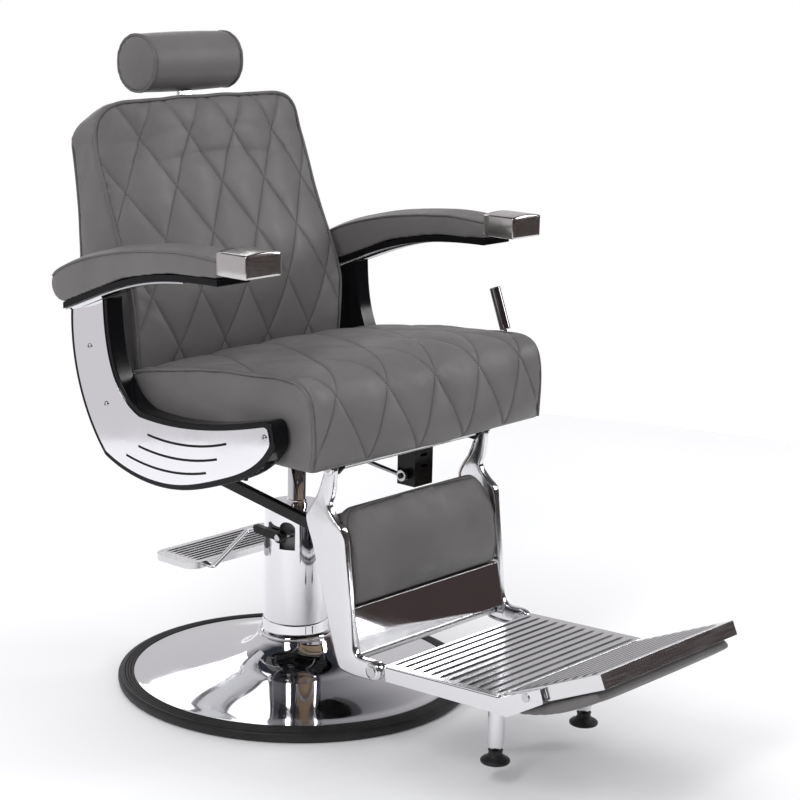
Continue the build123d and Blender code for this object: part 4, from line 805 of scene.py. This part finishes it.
def make_back():
    front = fair(BACK_FRONT, 6)
    rear = fair(BACK_REAR, 6)[1:]
    bottom = straight((292, 567), (136, 567), 8)[1:-1]
    outline = np.vstack([front, rear, bottom])
    z = outline[:, 1]
    is_front = np.zeros(len(outline))
    is_front[: len(front)] = 1
    crown = is_front * (5 + 15 * step(z, 640, 760)) * (1 - 0.75 * step(z, 1000, 1056)) * step(z, 567, 580)
    is_top = np.zeros(len(outline))
    is_top[len(front): len(front) + len(rear)] = 1
    crown += is_top * 5 * step(z, 700, 800) * (1 - step(z, 960, 1040))

    def shape(points, share):
        points[:, 0] = share * back_width(points[:, 2])
        points = drop_corner(points, share)
        rearness = np.clip(14 - (np.interp(points[:, 2], [567, 773, 980], [292, 303, 329]) - points[:, 1]), 0, 14)
        points[:, 0] -= np.sign(share) * abs(share) ** 6 * (14 - np.sqrt(14**2 - rearness**2))
        return points

    back = sweep("back_upholstery", outline, crown, 260, 93, shape)
    def held(points):
        x, y, z = (points / MM).T
        line = np.interp(z, [p[1] for p in BACK_FRONT], [p[0] for p in BACK_FRONT])
        rim = np.exp(-(((back_width(z) - np.abs(x)) / 8) ** 2)) * np.exp(-(((y - line) / 14) ** 2))
        low = 1 - step(z, 570, 580)
        rear_rim = np.exp(-(((back_width(z) - np.abs(x)) / 14) ** 2)) * step(y, 285, 300)
        sides = 0.6 * step(np.abs(x), back_width(z) - 6, back_width(z) - 2)
        return np.maximum.reduce([0.95 * rim, low, 0.7 * rear_rim, sides])

    pad(back, 7.5, held, 8, 2)
    path = Path(front)
    crossing = path.along(np.array([[0, 0.213, 0.893]]))[0][0] / MM
    diamonds = Diamonds(path, 110, 188, crossing)
    diamonds.inwards = 1

    def region(points, v):
        x, y, z = (points / MM).T
        sides = step(back_width(z) - np.abs(x), 4, 14)
        top = step(BACK_TOP_Z - top_drop(x) - z, 3, 12)
        line = np.interp(z, [p[1] for p in BACK_FRONT], [p[0] for p in BACK_FRONT])
        facing = 1 - step(y - line, 12, 22)
        return sides * top * facing * step(z, 572, 584)

    diamonds.puff(back, region, 5.0)
    half_loop = [(back_width(z) + 1, y, z) for y, z in fair(BACK_FRONT, 5) if z < 984]
    for angle in np.linspace(0, math.pi / 2, 22)[1:]:
        x = 196 + BACK_CORNER * math.cos(angle)
        z = BACK_TOP_Z - top_drop(min(x, 257.9))
        half_loop.append((x, np.interp(z, [p[1] for p in BACK_FRONT], [p[0] for p in BACK_FRONT]), z))
    across = [(x, 252, BACK_TOP_Z - top_drop(x)) for x in np.linspace(192, -192, 76)]
    loop = half_loop + across + [(-x, y, z) for x, y, z in reversed(half_loop)]
    front_line = eased(on_surface(back, np.array(loop) * MM, 0.8), 8)
    rear_points = [(back_width(z) - 5, y - 3, z) for y, z in reversed(BACK_REAR[6:])]
    rear_points = list(fair(rear_points, 6))
    for angle in np.linspace(0, math.pi / 2, 12)[1:]:
        rear_points.append((200 + 55 * math.cos(angle), 322 - 18 * math.sin(angle), 985 + 42 * math.sin(angle)))
    rear_points += [(x, 303, 1030) for x in np.linspace(190, 0, 36)]
    rear_loop = rear_points + [(-x, y, z) for x, y, z in reversed(rear_points[:-1])]
    rear_line = eased(on_surface(back, np.array(rear_loop) * MM, 0.2), 10)
    tuck(back, [front_line], 2.2, 5.0, 0.35)
    tuck(back, [rear_line], 1.5, 4.5, 0.25)
    upholster(back, "back", ["back_cushion", "back_shell"])
    piped("back_piping", [front_line], "back", 3.3, False)
    piped("back_rear_piping", [rear_line], "back", 2.2, False)
    bpy.context.view_layer.update()
    threads = quilt_stitches("back_stitches", back, diamonds, 0.252, 0.008, path.length - 0.010)
    settle(threads, "back", "grey_leatherette", "thread", 0)


# --- Headrest -----------------------------------------------------------------------------------
HEAD_Y, HEAD_Z = (306.0, 1109.5)
HEAD_R, HEAD_HALF = 54.0, 110.0


def circle_points(radius, x, count=72):
    return np.array([
        (x, (HEAD_Y + radius * math.cos(a)) * MM, (HEAD_Z + radius * math.sin(a)) * MM)
        for a in np.linspace(0, 2 * math.pi, count, endpoint=False)
    ])


def make_headrest():
    angles = np.linspace(0, 2 * math.pi, 64, endpoint=False)
    outline = np.column_stack([HEAD_Y + (HEAD_R - 2) * np.cos(angles), HEAD_Z + (HEAD_R - 2) * np.sin(angles)])
    head = sweep("headrest_upholstery", outline, np.full(64, 2.0), HEAD_HALF, 41)

    def held(points):
        x, y, z = (points / MM).T
        radius = np.hypot(y - HEAD_Y, z - HEAD_Z)
        seam = np.exp(-(((np.abs(x) - HEAD_HALF + 3) / 6) ** 2)) * step(radius, HEAD_R - 12, HEAD_R - 5)
        return 0.95 * seam

    pad(head, 6, held, 4, 1, relax=2)
    seams = [on_surface(head, circle_points(HEAD_R - 1, side * (HEAD_HALF - 2) * MM), 0.3) for side in (1, -1)]
    tuck(head, seams, 1.6, 4.5, 0.3)
    upholster(head, "headrest", ["headrest_cushion"])
    piped("headrest_piping", seams, "headrest", 2.6)
    zip_line = [(x * MM, (HEAD_Y + 30) * MM, (HEAD_Z - 60) * MM) for x in np.linspace(-96, 96, 60)]
    piped("headrest_seam", [on_surface(head, zip_line, -0.6)], "headrest", 1.3, False)


# --- Armrests -----------------------------------------------------------------------------------
ARM_LOW = [(-176, 806), (-139, 805), (-92, 803), (-52, 800), (4, 790), (54, 779), (104, 760), (156, 740), (205, 721)]
ARM_TOP = [(-176, 838), (-137, 839), (-90, 840), (-43, 837), (6, 832), (55, 825), (106, 814), (158, 800), (211, 779), (236, 764)]
ARM_MID, ARM_HALF = 333.0, 39.0


def make_armrest(side):
    top = fair(ARM_TOP, 5)
    low = fair(ARM_LOW, 5)
    nose = fair([tuple(top[-1]), (243, 752), (238, 737), (224, 726), tuple(low[-1])], 5)
    front = straight(tuple(low[0]), tuple(top[0]), 5)
    outline = np.vstack([top, nose[1:-1], low[::-1], front[1:-1]])
    crown = np.zeros(len(outline))
    crown[: len(top)] = 8.0 * step(np.linspace(0, 1, len(top)), 0, 0.12)
    crown[len(top): len(top) + len(nose) - 2] = 4.0
    name = "left" if side > 0 else "right"

    def shape(points, share):
        rear = np.clip(26 - (247 - points[:, 1]), 0, 26)
        points[:, 0] = side * ARM_MID + share * (ARM_HALF - (26 - np.sqrt(26**2 - rear**2)) * 0.8)
        return points

    arm = sweep(f"armrest_{name}", outline, crown, ARM_HALF, 25, shape)

    def held(points):
        x, y, z = (points / MM).T
        base = np.interp(y, [p[0] for p in ARM_LOW], [p[1] for p in ARM_LOW])
        edge = np.interp(y, [p[0] for p in ARM_TOP], [p[1] for p in ARM_TOP])
        rim = np.exp(-(((z - edge) / 4) ** 2)) * step(np.abs(x - side * ARM_MID), ARM_HALF - 8, ARM_HALF - 3)
        front_end = 1 - step(y, -174, -166)
        return np.maximum.reduce([1 - step(z - base, 2, 7), rim * 0.9, front_end])

    pad(arm, 5, held, 4, 1, relax=3)
    seams = []
    for edge in (1, -1):
        line = [(side * ARM_MID + edge * ARM_HALF, y, z + 0.5) for y, z in top]
        seams.append(eased(on_surface(arm, np.array(line) * MM, 0.2), 6))
    tuck(arm, seams, 1.2, 4.0, 0.25)
    upholster(arm, "seat", ["arm_pads"])
    piped(f"armrest_piping_{name}", seams, "seat", 2.2, False)


# --- Calf pad and toe pad -----------------------------------------------------------------------
CALF_FRONT = [(-314, 255), (-317, 300), (-313, 335), (-304, 366), (-291, 392), (-279, 409)]
CALF_REAR = [(-279, 409), (-270, 413), (-262, 405), (-266, 380), (-283, 255)]
CALF_HALF = 184.0


def make_calf_pad():
    outline = np.vstack([fair(CALF_FRONT, 5), fair(CALF_REAR, 5)[1:], straight(CALF_REAR[-1], CALF_FRONT[0], 6)[1:-1]])
    crown = np.zeros(len(outline))
    count = len(fair(CALF_FRONT, 5))
    crown[:count] = 9.0 * step(outline[:count, 1], 255, 285)

    def shape(points, share):
        over = max(0.0, abs(share) * CALF_HALF - (CALF_HALF - 34))
        points[:, 2] -= (34 - math.sqrt(34**2 - over**2)) * np.clip((points[:, 2] - 350) / 60, 0, 1)
        return points

    calf = sweep("calf_upholstery", outline, crown, CALF_HALF, 61, shape)

    def held(points):
        x, y, z = (points / MM).T
        sides = step(np.abs(x), CALF_HALF - 8, CALF_HALF - 3)
        return np.maximum.reduce([0.9 * sides, 1 - step(z, 258, 266), step(y, -280, -272)])

    pad(calf, 5, held, 5, 1)
    half = [(CALF_HALF, y, z) for y, z in fair(CALF_FRONT, 5) if z < 378]
    half += [(CALF_HALF - 34 + 34 * math.cos(a), -300 + 22 * math.sin(a), 377 + 33 * math.sin(a))
             for a in np.linspace(0, math.pi / 2, 10)[1:]]
    line = half + [(x, -279, 410) for x in np.linspace(145, -145, 50)] + [(-x, y, z) for x, y, z in reversed(half)]
    seam = eased(on_surface(calf, np.array(line) * MM, 0.1), 8)
    tuck(calf, [seam], 1.4, 4.0, 0.3)
    upholster(calf, "legrest", ["calf_pad"])
    piped("calf_piping", [seam], "legrest", 1.8, False)


def make_toe_pad():
    low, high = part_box("toe_pad")
    source = copy_of("toe_pad", "toe_upholstery")
    points = points_of(source)
    points[:, 0] *= 1.03
    move(source, points)
    round_edges(source, 7, 4)

    def held(points):
        x, y, z = points.T
        line = low.z + (high.z - low.z) * (high.y - y) / (high.y - low.y)
        return np.maximum(step(z - line, -0.004, 0.004), step(np.abs(x), high.x - 0.003, high.x + 0.002))

    pad(source, 5, held, 5, 1)
    upholster(source, "toe_flap", ["toe_pad"])


# --- Footrest -----------------------------------------------------------------------------------
TREAD_LEAN, TOE_LEAN = math.radians(2.9), math.radians(23.8)
TOE_ORIGIN = (-391 - 237 * math.cos(TREAD_LEAN), 174 + 237 * math.sin(TREAD_LEAN))


def make_foot(side):
    name = f"foot_{'left' if side > 0 else 'right'}"
    foot = lathe(name + "_pad", [
        (0.05, 36), (21, 36), (23.6, 37.2), (24.5, 39.4), (24, 41.6), (21.8, 43.6), (17, 45.6), (13.4, 48.4),
        (11.6, 52), (11.4, 55.4), (12.4, 57.4), (12.2, 58.6), (5.05, 58.8), (5.05, 80), (0.05, 80),
    ], 64)
    foot.data.transform(Matrix.Translation((side * 0.1195, -0.567, 0)))
    settle(foot, name, "black_rubber", smooth=55)
    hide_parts(name.replace("foot", "foot_pad"))


# --- Base ---------------------------------------------------------------------------------------
def make_base():
    dome = fair([
        (298, 17.5), (296.5, 20.4), (291, 21.4), (270, 24.0), (209, 35), (150, 44.8), (123, 49.5), (103, 56.5),
        (85, 69), (73, 83), (67.5, 93),
    ], 3)
    inner = [(r - 1.5, z - 2.4) for r, z in reversed(dome)]
    cover = settle(lathe("base_cover", list(map(tuple, dome)) + inner), "base", "chrome", smooth=0)
    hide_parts("base_plate")
    ridges = []
    for k in range(4):
        centre = 298.5 + 5.2 * k
        ridges += [(centre + 2.3 * math.sin(a), 20.4 - 0.5 * k + 2.0 * math.cos(a)) for a in np.linspace(-1.35, 1.35, 7)]
    ring = [(295.5, 16), (296, 20)] + ridges + [
        (320.5, 19.4), (323.2, 17.5), (324.7, 14.5), (324.8, 9), (323.5, 4), (320, 0.8), (312, 0), (284, 0), (284, 9),
    ]
    rubber = settle(lathe("base_rubber", ring), "base", "black_rubber", smooth=50)
    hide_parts("base_rubber_ring")
    collar = settle(lathe("collar", [
        (58.7, 91), (66, 91), (67.4, 92.5), (67.9, 95), (67.2, 98), (64.5, 100.2), (61, 101.2), (60.4, 103.5),
        (60.4, 118), (59.8, 120.8), (58.7, 121.3),
    ]), "base", "chrome", smooth=50)
    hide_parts("column_collar")
    ram = settle(lathe("ram", [(16.7, 114), (16.7, 472), (15.5, 474), (0.5, 474), (0.5, 114)], 96), "ram", "chrome")
    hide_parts("piston_ram")
    dress("column_cover", 0)
    dress("dust_seal", 0.6)
    dress("pump_body", 1.0)
    dress("pump_bolts", 0.5)
    dress("base_ballast", 1.0)


# --- Pedal --------------------------------------------------------------------------------------
def make_pedal():
    dress("pedal_shaft", 0.5)
    dress("pedal_levers", 1.2)
    ribbed("pedal_plate", (118, 224), 0.0, [-54 + 38.5 - 11 * k for k in range(8)], 128, 5.0, 1.6, 0.7)
    dress("pedal_rods", 0.6)


# --- Legrest arms -------------------------------------------------------------------------------
ARM_OUTLINE = [
    (-277, 480), (-273, 440), (-267, 421), (-281, 402), (-300, 386), (-306, 362), (-317, 278), (-327, 192),
    (-338, 178), (-371, 177), (-384, 171), (-387, 161), (-384, 151), (-371, 145), (-300, 145), (-289, 161),
    (-281, 184), (-263, 241), (-246, 298), (-232, 347), (-222, 376), (-218, 398), (-226, 416), (-240, 438),
    (-253, 474), (-257, 488), (-266, 494), (-275, 490),
]


def make_legrest_arm(side):
    node = f"legrest_arm_{'left' if side > 0 else 'right'}"
    outline = fair(ARM_OUTLINE, 4, closed=True)
    count = len(outline)
    ahead = np.roll(outline, -1, axis=0) - np.roll(outline, 1, axis=0)
    inward = np.stack([-ahead[:, 1], ahead[:, 0]], axis=1)
    inward /= np.linalg.norm(inward, axis=1)[:, None]
    area = np.sum(outline[:, 0] * np.roll(outline[:, 1], -1) - np.roll(outline[:, 0], -1) * outline[:, 1])
    if area < 0:
        inward = -inward
    steps = [  # (inset, x): a flange around a shallow recess inside, a crowned face outside
        (6.0, 193.2), (4.8, 192.8), (3.6, 190.5), (2.2, 190.0), (0.9, 190.3), (0.1, 191.3), (0.0, 193.0),
        (0.0, 199.0), (0.2, 200.4), (0.9, 201.5), (2.2, 202.3), (4.0, 202.8), (6.0, 203.1),
    ]
    for _ in range(3):
        inward += (np.roll(inward, 1, axis=0) + np.roll(inward, -1, axis=0)) / 2
        inward /= np.linalg.norm(inward, axis=1)[:, None]
    vertices = []
    for inset, x in steps:
        flat = outline + inward * inset
        knee = 3.0 * np.exp(-(((flat[:, 1] - 392) / 26) ** 2)) * (x > 198)
        vertices.append(np.column_stack([side * (x + knee), flat]))
    faces = ring_faces(len(steps), count)
    faces.append(tuple(reversed(range(count))))
    faces.append(tuple((len(steps) - 1) * count + i for i in range(count)))
    arm = add(node + "_casting", np.vstack(vertices) * MM, faces)
    face_outwards(arm)
    settle(arm, "legrest", "cast_aluminium", smooth=50)
    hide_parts(node)
    bosses = [disc(side, -266, 484, 11, 200, 205), disc(side, -371, 161, 14, 200, 204.5),
              disc(side, -243, 370, 10, 189.2, 195)]
    settle(join(f"{node}_bosses", bosses), "legrest", "cast_aluminium", smooth=50)


def make_screws():
    """Domed screws with a hexagon recess, on both side plates."""
    pieces = []
    for side in (1, -1):
        for y, z in ((178, 643), (136, 548), (-247, 556)):
            rings, sides = [(0.02, 1.0, 6), (2.3, 1.0, 6), (2.5, 3.0, 6), (3.4, 3.0, 0), (4.2, 2.3, 0), (4.9, 1.3, 0),
                            (5.1, 0.0, 0), (0.02, 0.0, 0)], 36
            vertices = []
            for r, x, corners in rings:
                for k in range(sides):
                    a = 2 * math.pi * k / sides
                    size = r
                    if corners:
                        size *= math.cos(math.pi / 6) / math.cos((a + math.pi / 6) % (math.pi / 3) - math.pi / 6)
                    vertices.append((side * (333.02 + x), y + size * math.cos(a), z + size * math.sin(a)))
            faces = ring_faces(len(rings), sides)
            last = (len(rings) - 1) * sides
            faces += [tuple(range(sides)), tuple(last + k for k in range(sides))]
            piece = add("screw", np.array(vertices) * MM, faces)
            face_outwards(piece)
            pieces.append(piece)
    screws = settle(join("side_screw_heads", pieces), "seat", "chrome", "plain_steel", 35)
    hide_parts("side_screws")


def make_caps():
    """Polished caps with a crowned top, an arched front edge and softened corners."""
    pieces = []
    for side in (1, -1):
        half, steps = 40.4, 25
        section = [(-half + 3, 812.3), (-half + 1, 813), (-half, 815), (-half, 848.2), (-half + 0.8, 850.0)]
        section += [(x, 850.8 + 3.6 * (1 - (x / (half - 2)) ** 2)) for x in np.linspace(-half + 2, half - 2, steps)]
        section += [(half - 0.8, 850.0), (half, 848.2), (half, 815), (half - 1, 813), (half - 3, 812.3)]
        section = np.array(section)
        middle = np.array([0.0, 832.0])
        vertices = []
        for y, shrink in ((-177, 3.5), (-176.2, 0.5), (-176.6, 0.0), (-190, 0.0), (-215, 0.0), (-239.5, 0.0),
                          (-241.6, 0.35), (-242.9, 1.2), (-243.5, 2.6), (-243.9, 9.0)):
            way = section - middle
            size = np.linalg.norm(way, axis=1)[:, None]
            flat = section - way / size * shrink
            bulge = 0.0 if y > -239 else -1.2
            taper = 1 - 0.012 * (-176 - y) / 68
            ring_y = y + bulge * (1 - (flat[:, 0] / half) ** 2) * (1 if y < -239 else 0)
            vertices.append(np.column_stack([side * 333 + flat[:, 0] * taper, ring_y, flat[:, 1]]))
        count = len(section)
        faces = ring_faces(len(vertices), count)
        faces.append(tuple(range(count)))
        faces.append(tuple((len(vertices) - 1) * count + k for k in range(count)))
        piece = add("cap", np.vstack(vertices) * MM, faces)
        face_outwards(piece)
        pieces.append(piece)
    caps = settle(join("armrest_caps", pieces), "seat", "satin_aluminium", smooth=50)
    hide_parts("arm_caps")


def disc(side, y, z, radius, x_low, x_high, sides=40):
    """A round boss along X with softened rims."""
    rim = min(1.0, radius * 0.15, (x_high - x_low) * 0.3)
    profile = [(0.02, x_low), (radius - rim, x_low), (radius, x_low + rim), (radius, x_high - rim),
               (radius - rim, x_high), (0.02, x_high)]
    vertices = [
        (side * x * MM, (y + r * math.cos(2 * math.pi * s / sides)) * MM, (z + r * math.sin(2 * math.pi * s / sides)) * MM)
        for r, x in profile for s in range(sides)
    ]
    faces = ring_faces(len(profile), sides)
    last = (len(profile) - 1) * sides
    faces += [tuple(range(sides)), tuple(last + s for s in range(sides))]
    piece = add("disc", vertices, faces)
    face_outwards(piece)
    return piece


def join(name, pieces):
    vertices, faces = [], []
    for piece in pieces:
        base = len(vertices)
        vertices += [tuple(v.co) for v in piece.data.vertices]
        faces += [tuple(base + i for i in p.vertices) for p in piece.data.polygons]
        bpy.data.objects.remove(piece)
    return add(name, vertices, faces)


# --- Stage --------------------------------------------------------------------------------------
def lamp(name, place, aim, size, power, color=(1, 1, 1)):
    data = bpy.data.lights.new(name, "AREA")
    data.shape = "RECTANGLE"
    data.size, data.size_y = size
    data.energy = power
    data.color = color
    light = bpy.data.objects.new(name, data)
    scene.collection.objects.link(light)
    light.location = place
    light.rotation_euler = (Vector(aim) - Vector(place)).to_track_quat("-Z", "Y").to_euler()
    return light


def make_world():
    """White to look at, an even pale room for soft light, and a studio for polished metal to mirror.

    The mirrored room is pale behind the chair, and dark in front of it and overhead.
    """
    world = bpy.data.worlds.new("studio")
    scene.world = world
    world.use_nodes = True
    tree = world.node_tree
    tree.nodes.clear()

    def node(kind, **values):
        made = tree.nodes.new("ShaderNode" + kind)
        for key, value in values.items():
            if key in made.inputs:
                made.inputs[key].default_value = value
            else:
                setattr(made, key, value)
        return made

    def ramp(factor, stops):
        made = node("ValToRGB")
        elements = made.color_ramp.elements
        while len(elements) < len(stops):
            elements.new(0.5)
        for element, (at, color) in zip(elements, stops):
            element.position = at
            element.color = (*color, 1)
        tree.links.new(factor, made.inputs["Fac"])
        return made.outputs["Color"]

    def shifted(source, scale, offset):
        made = node("Math", operation="MULTIPLY_ADD")
        made.inputs[1].default_value, made.inputs[2].default_value = scale, offset
        tree.links.new(source, made.inputs[0])
        return made.outputs[0]

    split = node("SeparateXYZ")
    tree.links.new(node("TexCoord").outputs["Generated"], split.inputs[0])
    depth = shifted(split.outputs["Y"], 0.5, 0.5)
    height = shifted(split.outputs["Z"], 0.5, 0.5)
    walls = ramp(depth, [(0.0, (0.052, 0.038, 0.037)), (0.40, (0.060, 0.046, 0.045)), (0.50, (0.34, 0.33, 0.34)),
                         (0.62, (0.60, 0.585, 0.60)), (1.0, (0.64, 0.62, 0.64))])
    ceiling = ramp(height, [(0.0, (0, 0, 0)), (0.70, (0, 0, 0)), (0.84, (1, 1, 1))])
    room = node("Mix", data_type="RGBA")
    tree.links.new(ceiling, room.inputs["Factor"])
    tree.links.new(walls, room.inputs[6])
    room.inputs[7].default_value = (0.028, 0.030, 0.040, 1)
    paths = node("LightPath")
    pale = node("Mix", data_type="RGBA")
    pale.inputs[6].default_value = (0.80, 0.80, 0.81, 1)
    tree.links.new(paths.outputs["Is Glossy Ray"], pale.inputs["Factor"])
    tree.links.new(room.outputs[2], pale.inputs[7])
    seen = node("Mix", data_type="RGBA")
    seen.inputs[7].default_value = (1.0, 1.0, 1.0, 1)
    tree.links.new(paths.outputs["Is Camera Ray"], seen.inputs["Factor"])
    tree.links.new(pale.outputs[2], seen.inputs[6])
    sky = node("Background")
    tree.links.new(seen.outputs[2], sky.inputs["Color"])
    tree.links.new(sky.outputs[0], node("OutputWorld").inputs["Surface"])


def make_stage():
    edge = [(2.3 * math.cos(a), 2.3 * math.sin(a), 0) for a in np.linspace(0, 2 * math.pi, 96, endpoint=False)]
    floor = add("floor", edge, [tuple(range(96))])
    pale = Surface("pale_floor", (0.88, 0.88, 0.89), 0.6, Specular_IOR_Level=0.2)
    pale.vary("Roughness", pale.noise(3), 0.55, 0.65)
    floor.data.materials.append(pale.mat)
    lamp("key", (-2.9, -0.9, 2.9), (0, 0, 0.5), (0.8, 1.8), 44)
    lamp("fill", (2.8, -2.2, 2.2), (0, -0.2, 0.5), (0.7, 1.8), 34)
    lamp("top", (0.2, 0.9, 3.4), (0, 0, 0.4), (2.6, 2.6), 28).visible_glossy = False
    lamp("rear", (1.5, 3.0, 2.4), (0, 0, 0.6), (2.0, 1.6), 16)
    scene.view_settings.view_transform = "Standard"
    scene.view_settings.look = "None"


AZIMUTH, ELEVATION, ROLL = (math.radians(v) for v in (-46.133, 13.066, 0.6518))
AIM, DISTANCE = Vector((0, 0, 0.5)), 3.7394
FOCAL_PX, CENTRE_PX, FRAME_PX, SENSOR = 2086.02, (297.68, 413.95), 800, 36.0


def make_camera():
    back = Vector((math.sin(AZIMUTH) * math.cos(ELEVATION), -math.cos(AZIMUTH) * math.cos(ELEVATION), math.sin(ELEVATION)))
    right = Vector((math.cos(AZIMUTH), math.sin(AZIMUTH), 0))
    up = back.cross(right)
    tilted_right = right * math.cos(ROLL) + up * math.sin(ROLL)
    tilted_up = up * math.cos(ROLL) - right * math.sin(ROLL)
    data = bpy.data.cameras.new("camera")
    data.sensor_width = SENSOR
    data.lens = SENSOR * FOCAL_PX / FRAME_PX
    data.shift_x = 0.5 - CENTRE_PX[0] / FRAME_PX
    data.shift_y = CENTRE_PX[1] / FRAME_PX - 0.5
    camera = bpy.data.objects.new("camera", data)
    scene.collection.objects.link(camera)
    camera.rotation_mode = "QUATERNION"
    turn = Matrix((tilted_right, tilted_up, back)).transposed()
    camera.rotation_quaternion = turn.to_quaternion()
    camera.location = AIM + back * DISTANCE
    scene.camera = camera


make_camera()
make_world()
make_stage()
make_base()
make_pedal()
make_seat()
make_back()
make_headrest()
for arm_side in (1, -1):
    make_armrest(arm_side)
    make_legrest_arm(arm_side)
    make_foot(arm_side)
make_calf_pad()
make_toe_pad()

make_screws()
make_caps()
dress("side_cores", 3.0, segments=3)
dress("side_plates", 0.35, finish="panel")
dress("arm_boards", 1.5)
ribbed("tread_plate", (-391, 174), TREAD_LEAN, [11 + 19.5 * k for k in range(12)], 184)
ribbed("toe_tray", TOE_ORIGIN, TOE_LEAN, [15 + 19.5 * k for k in range(9)], 171)
dress("kick_plate", 0.4)
dress("link_bar", 1.5)
for plain in (
    "arm_straps", "seat_hub", "frame_rails", "frame_crossbars", "side_brackets", "hinge_plates", "legrest_ears",
    "lock_bracket", "lever_pivot", "lever_rod", "lever_knob", "back_straps", "torsion_tube", "headrest_socket",
    "headrest_stem", "legrest_shafts", "link_bolt", "lock_rod", "lock_cylinder", "foot_rails", "foot_pins",
    "foot_crossbars", "foot_legs",
):
    dress(plain, 0.6)
# The boards keep their own slot's material, except the seat board: it is black gloss as painted shade, so the chrome
# below mirrors the seat's underside as dark.
for hidden in ("seat_board", "back_board", "headrest_core", "calf_board"):
    node = frame["nodes"][hidden]
    for slot in node.material_slots:
        slot.material = FINISH["black_panel" if hidden == "seat_board" else SLOT_OF[hidden]]
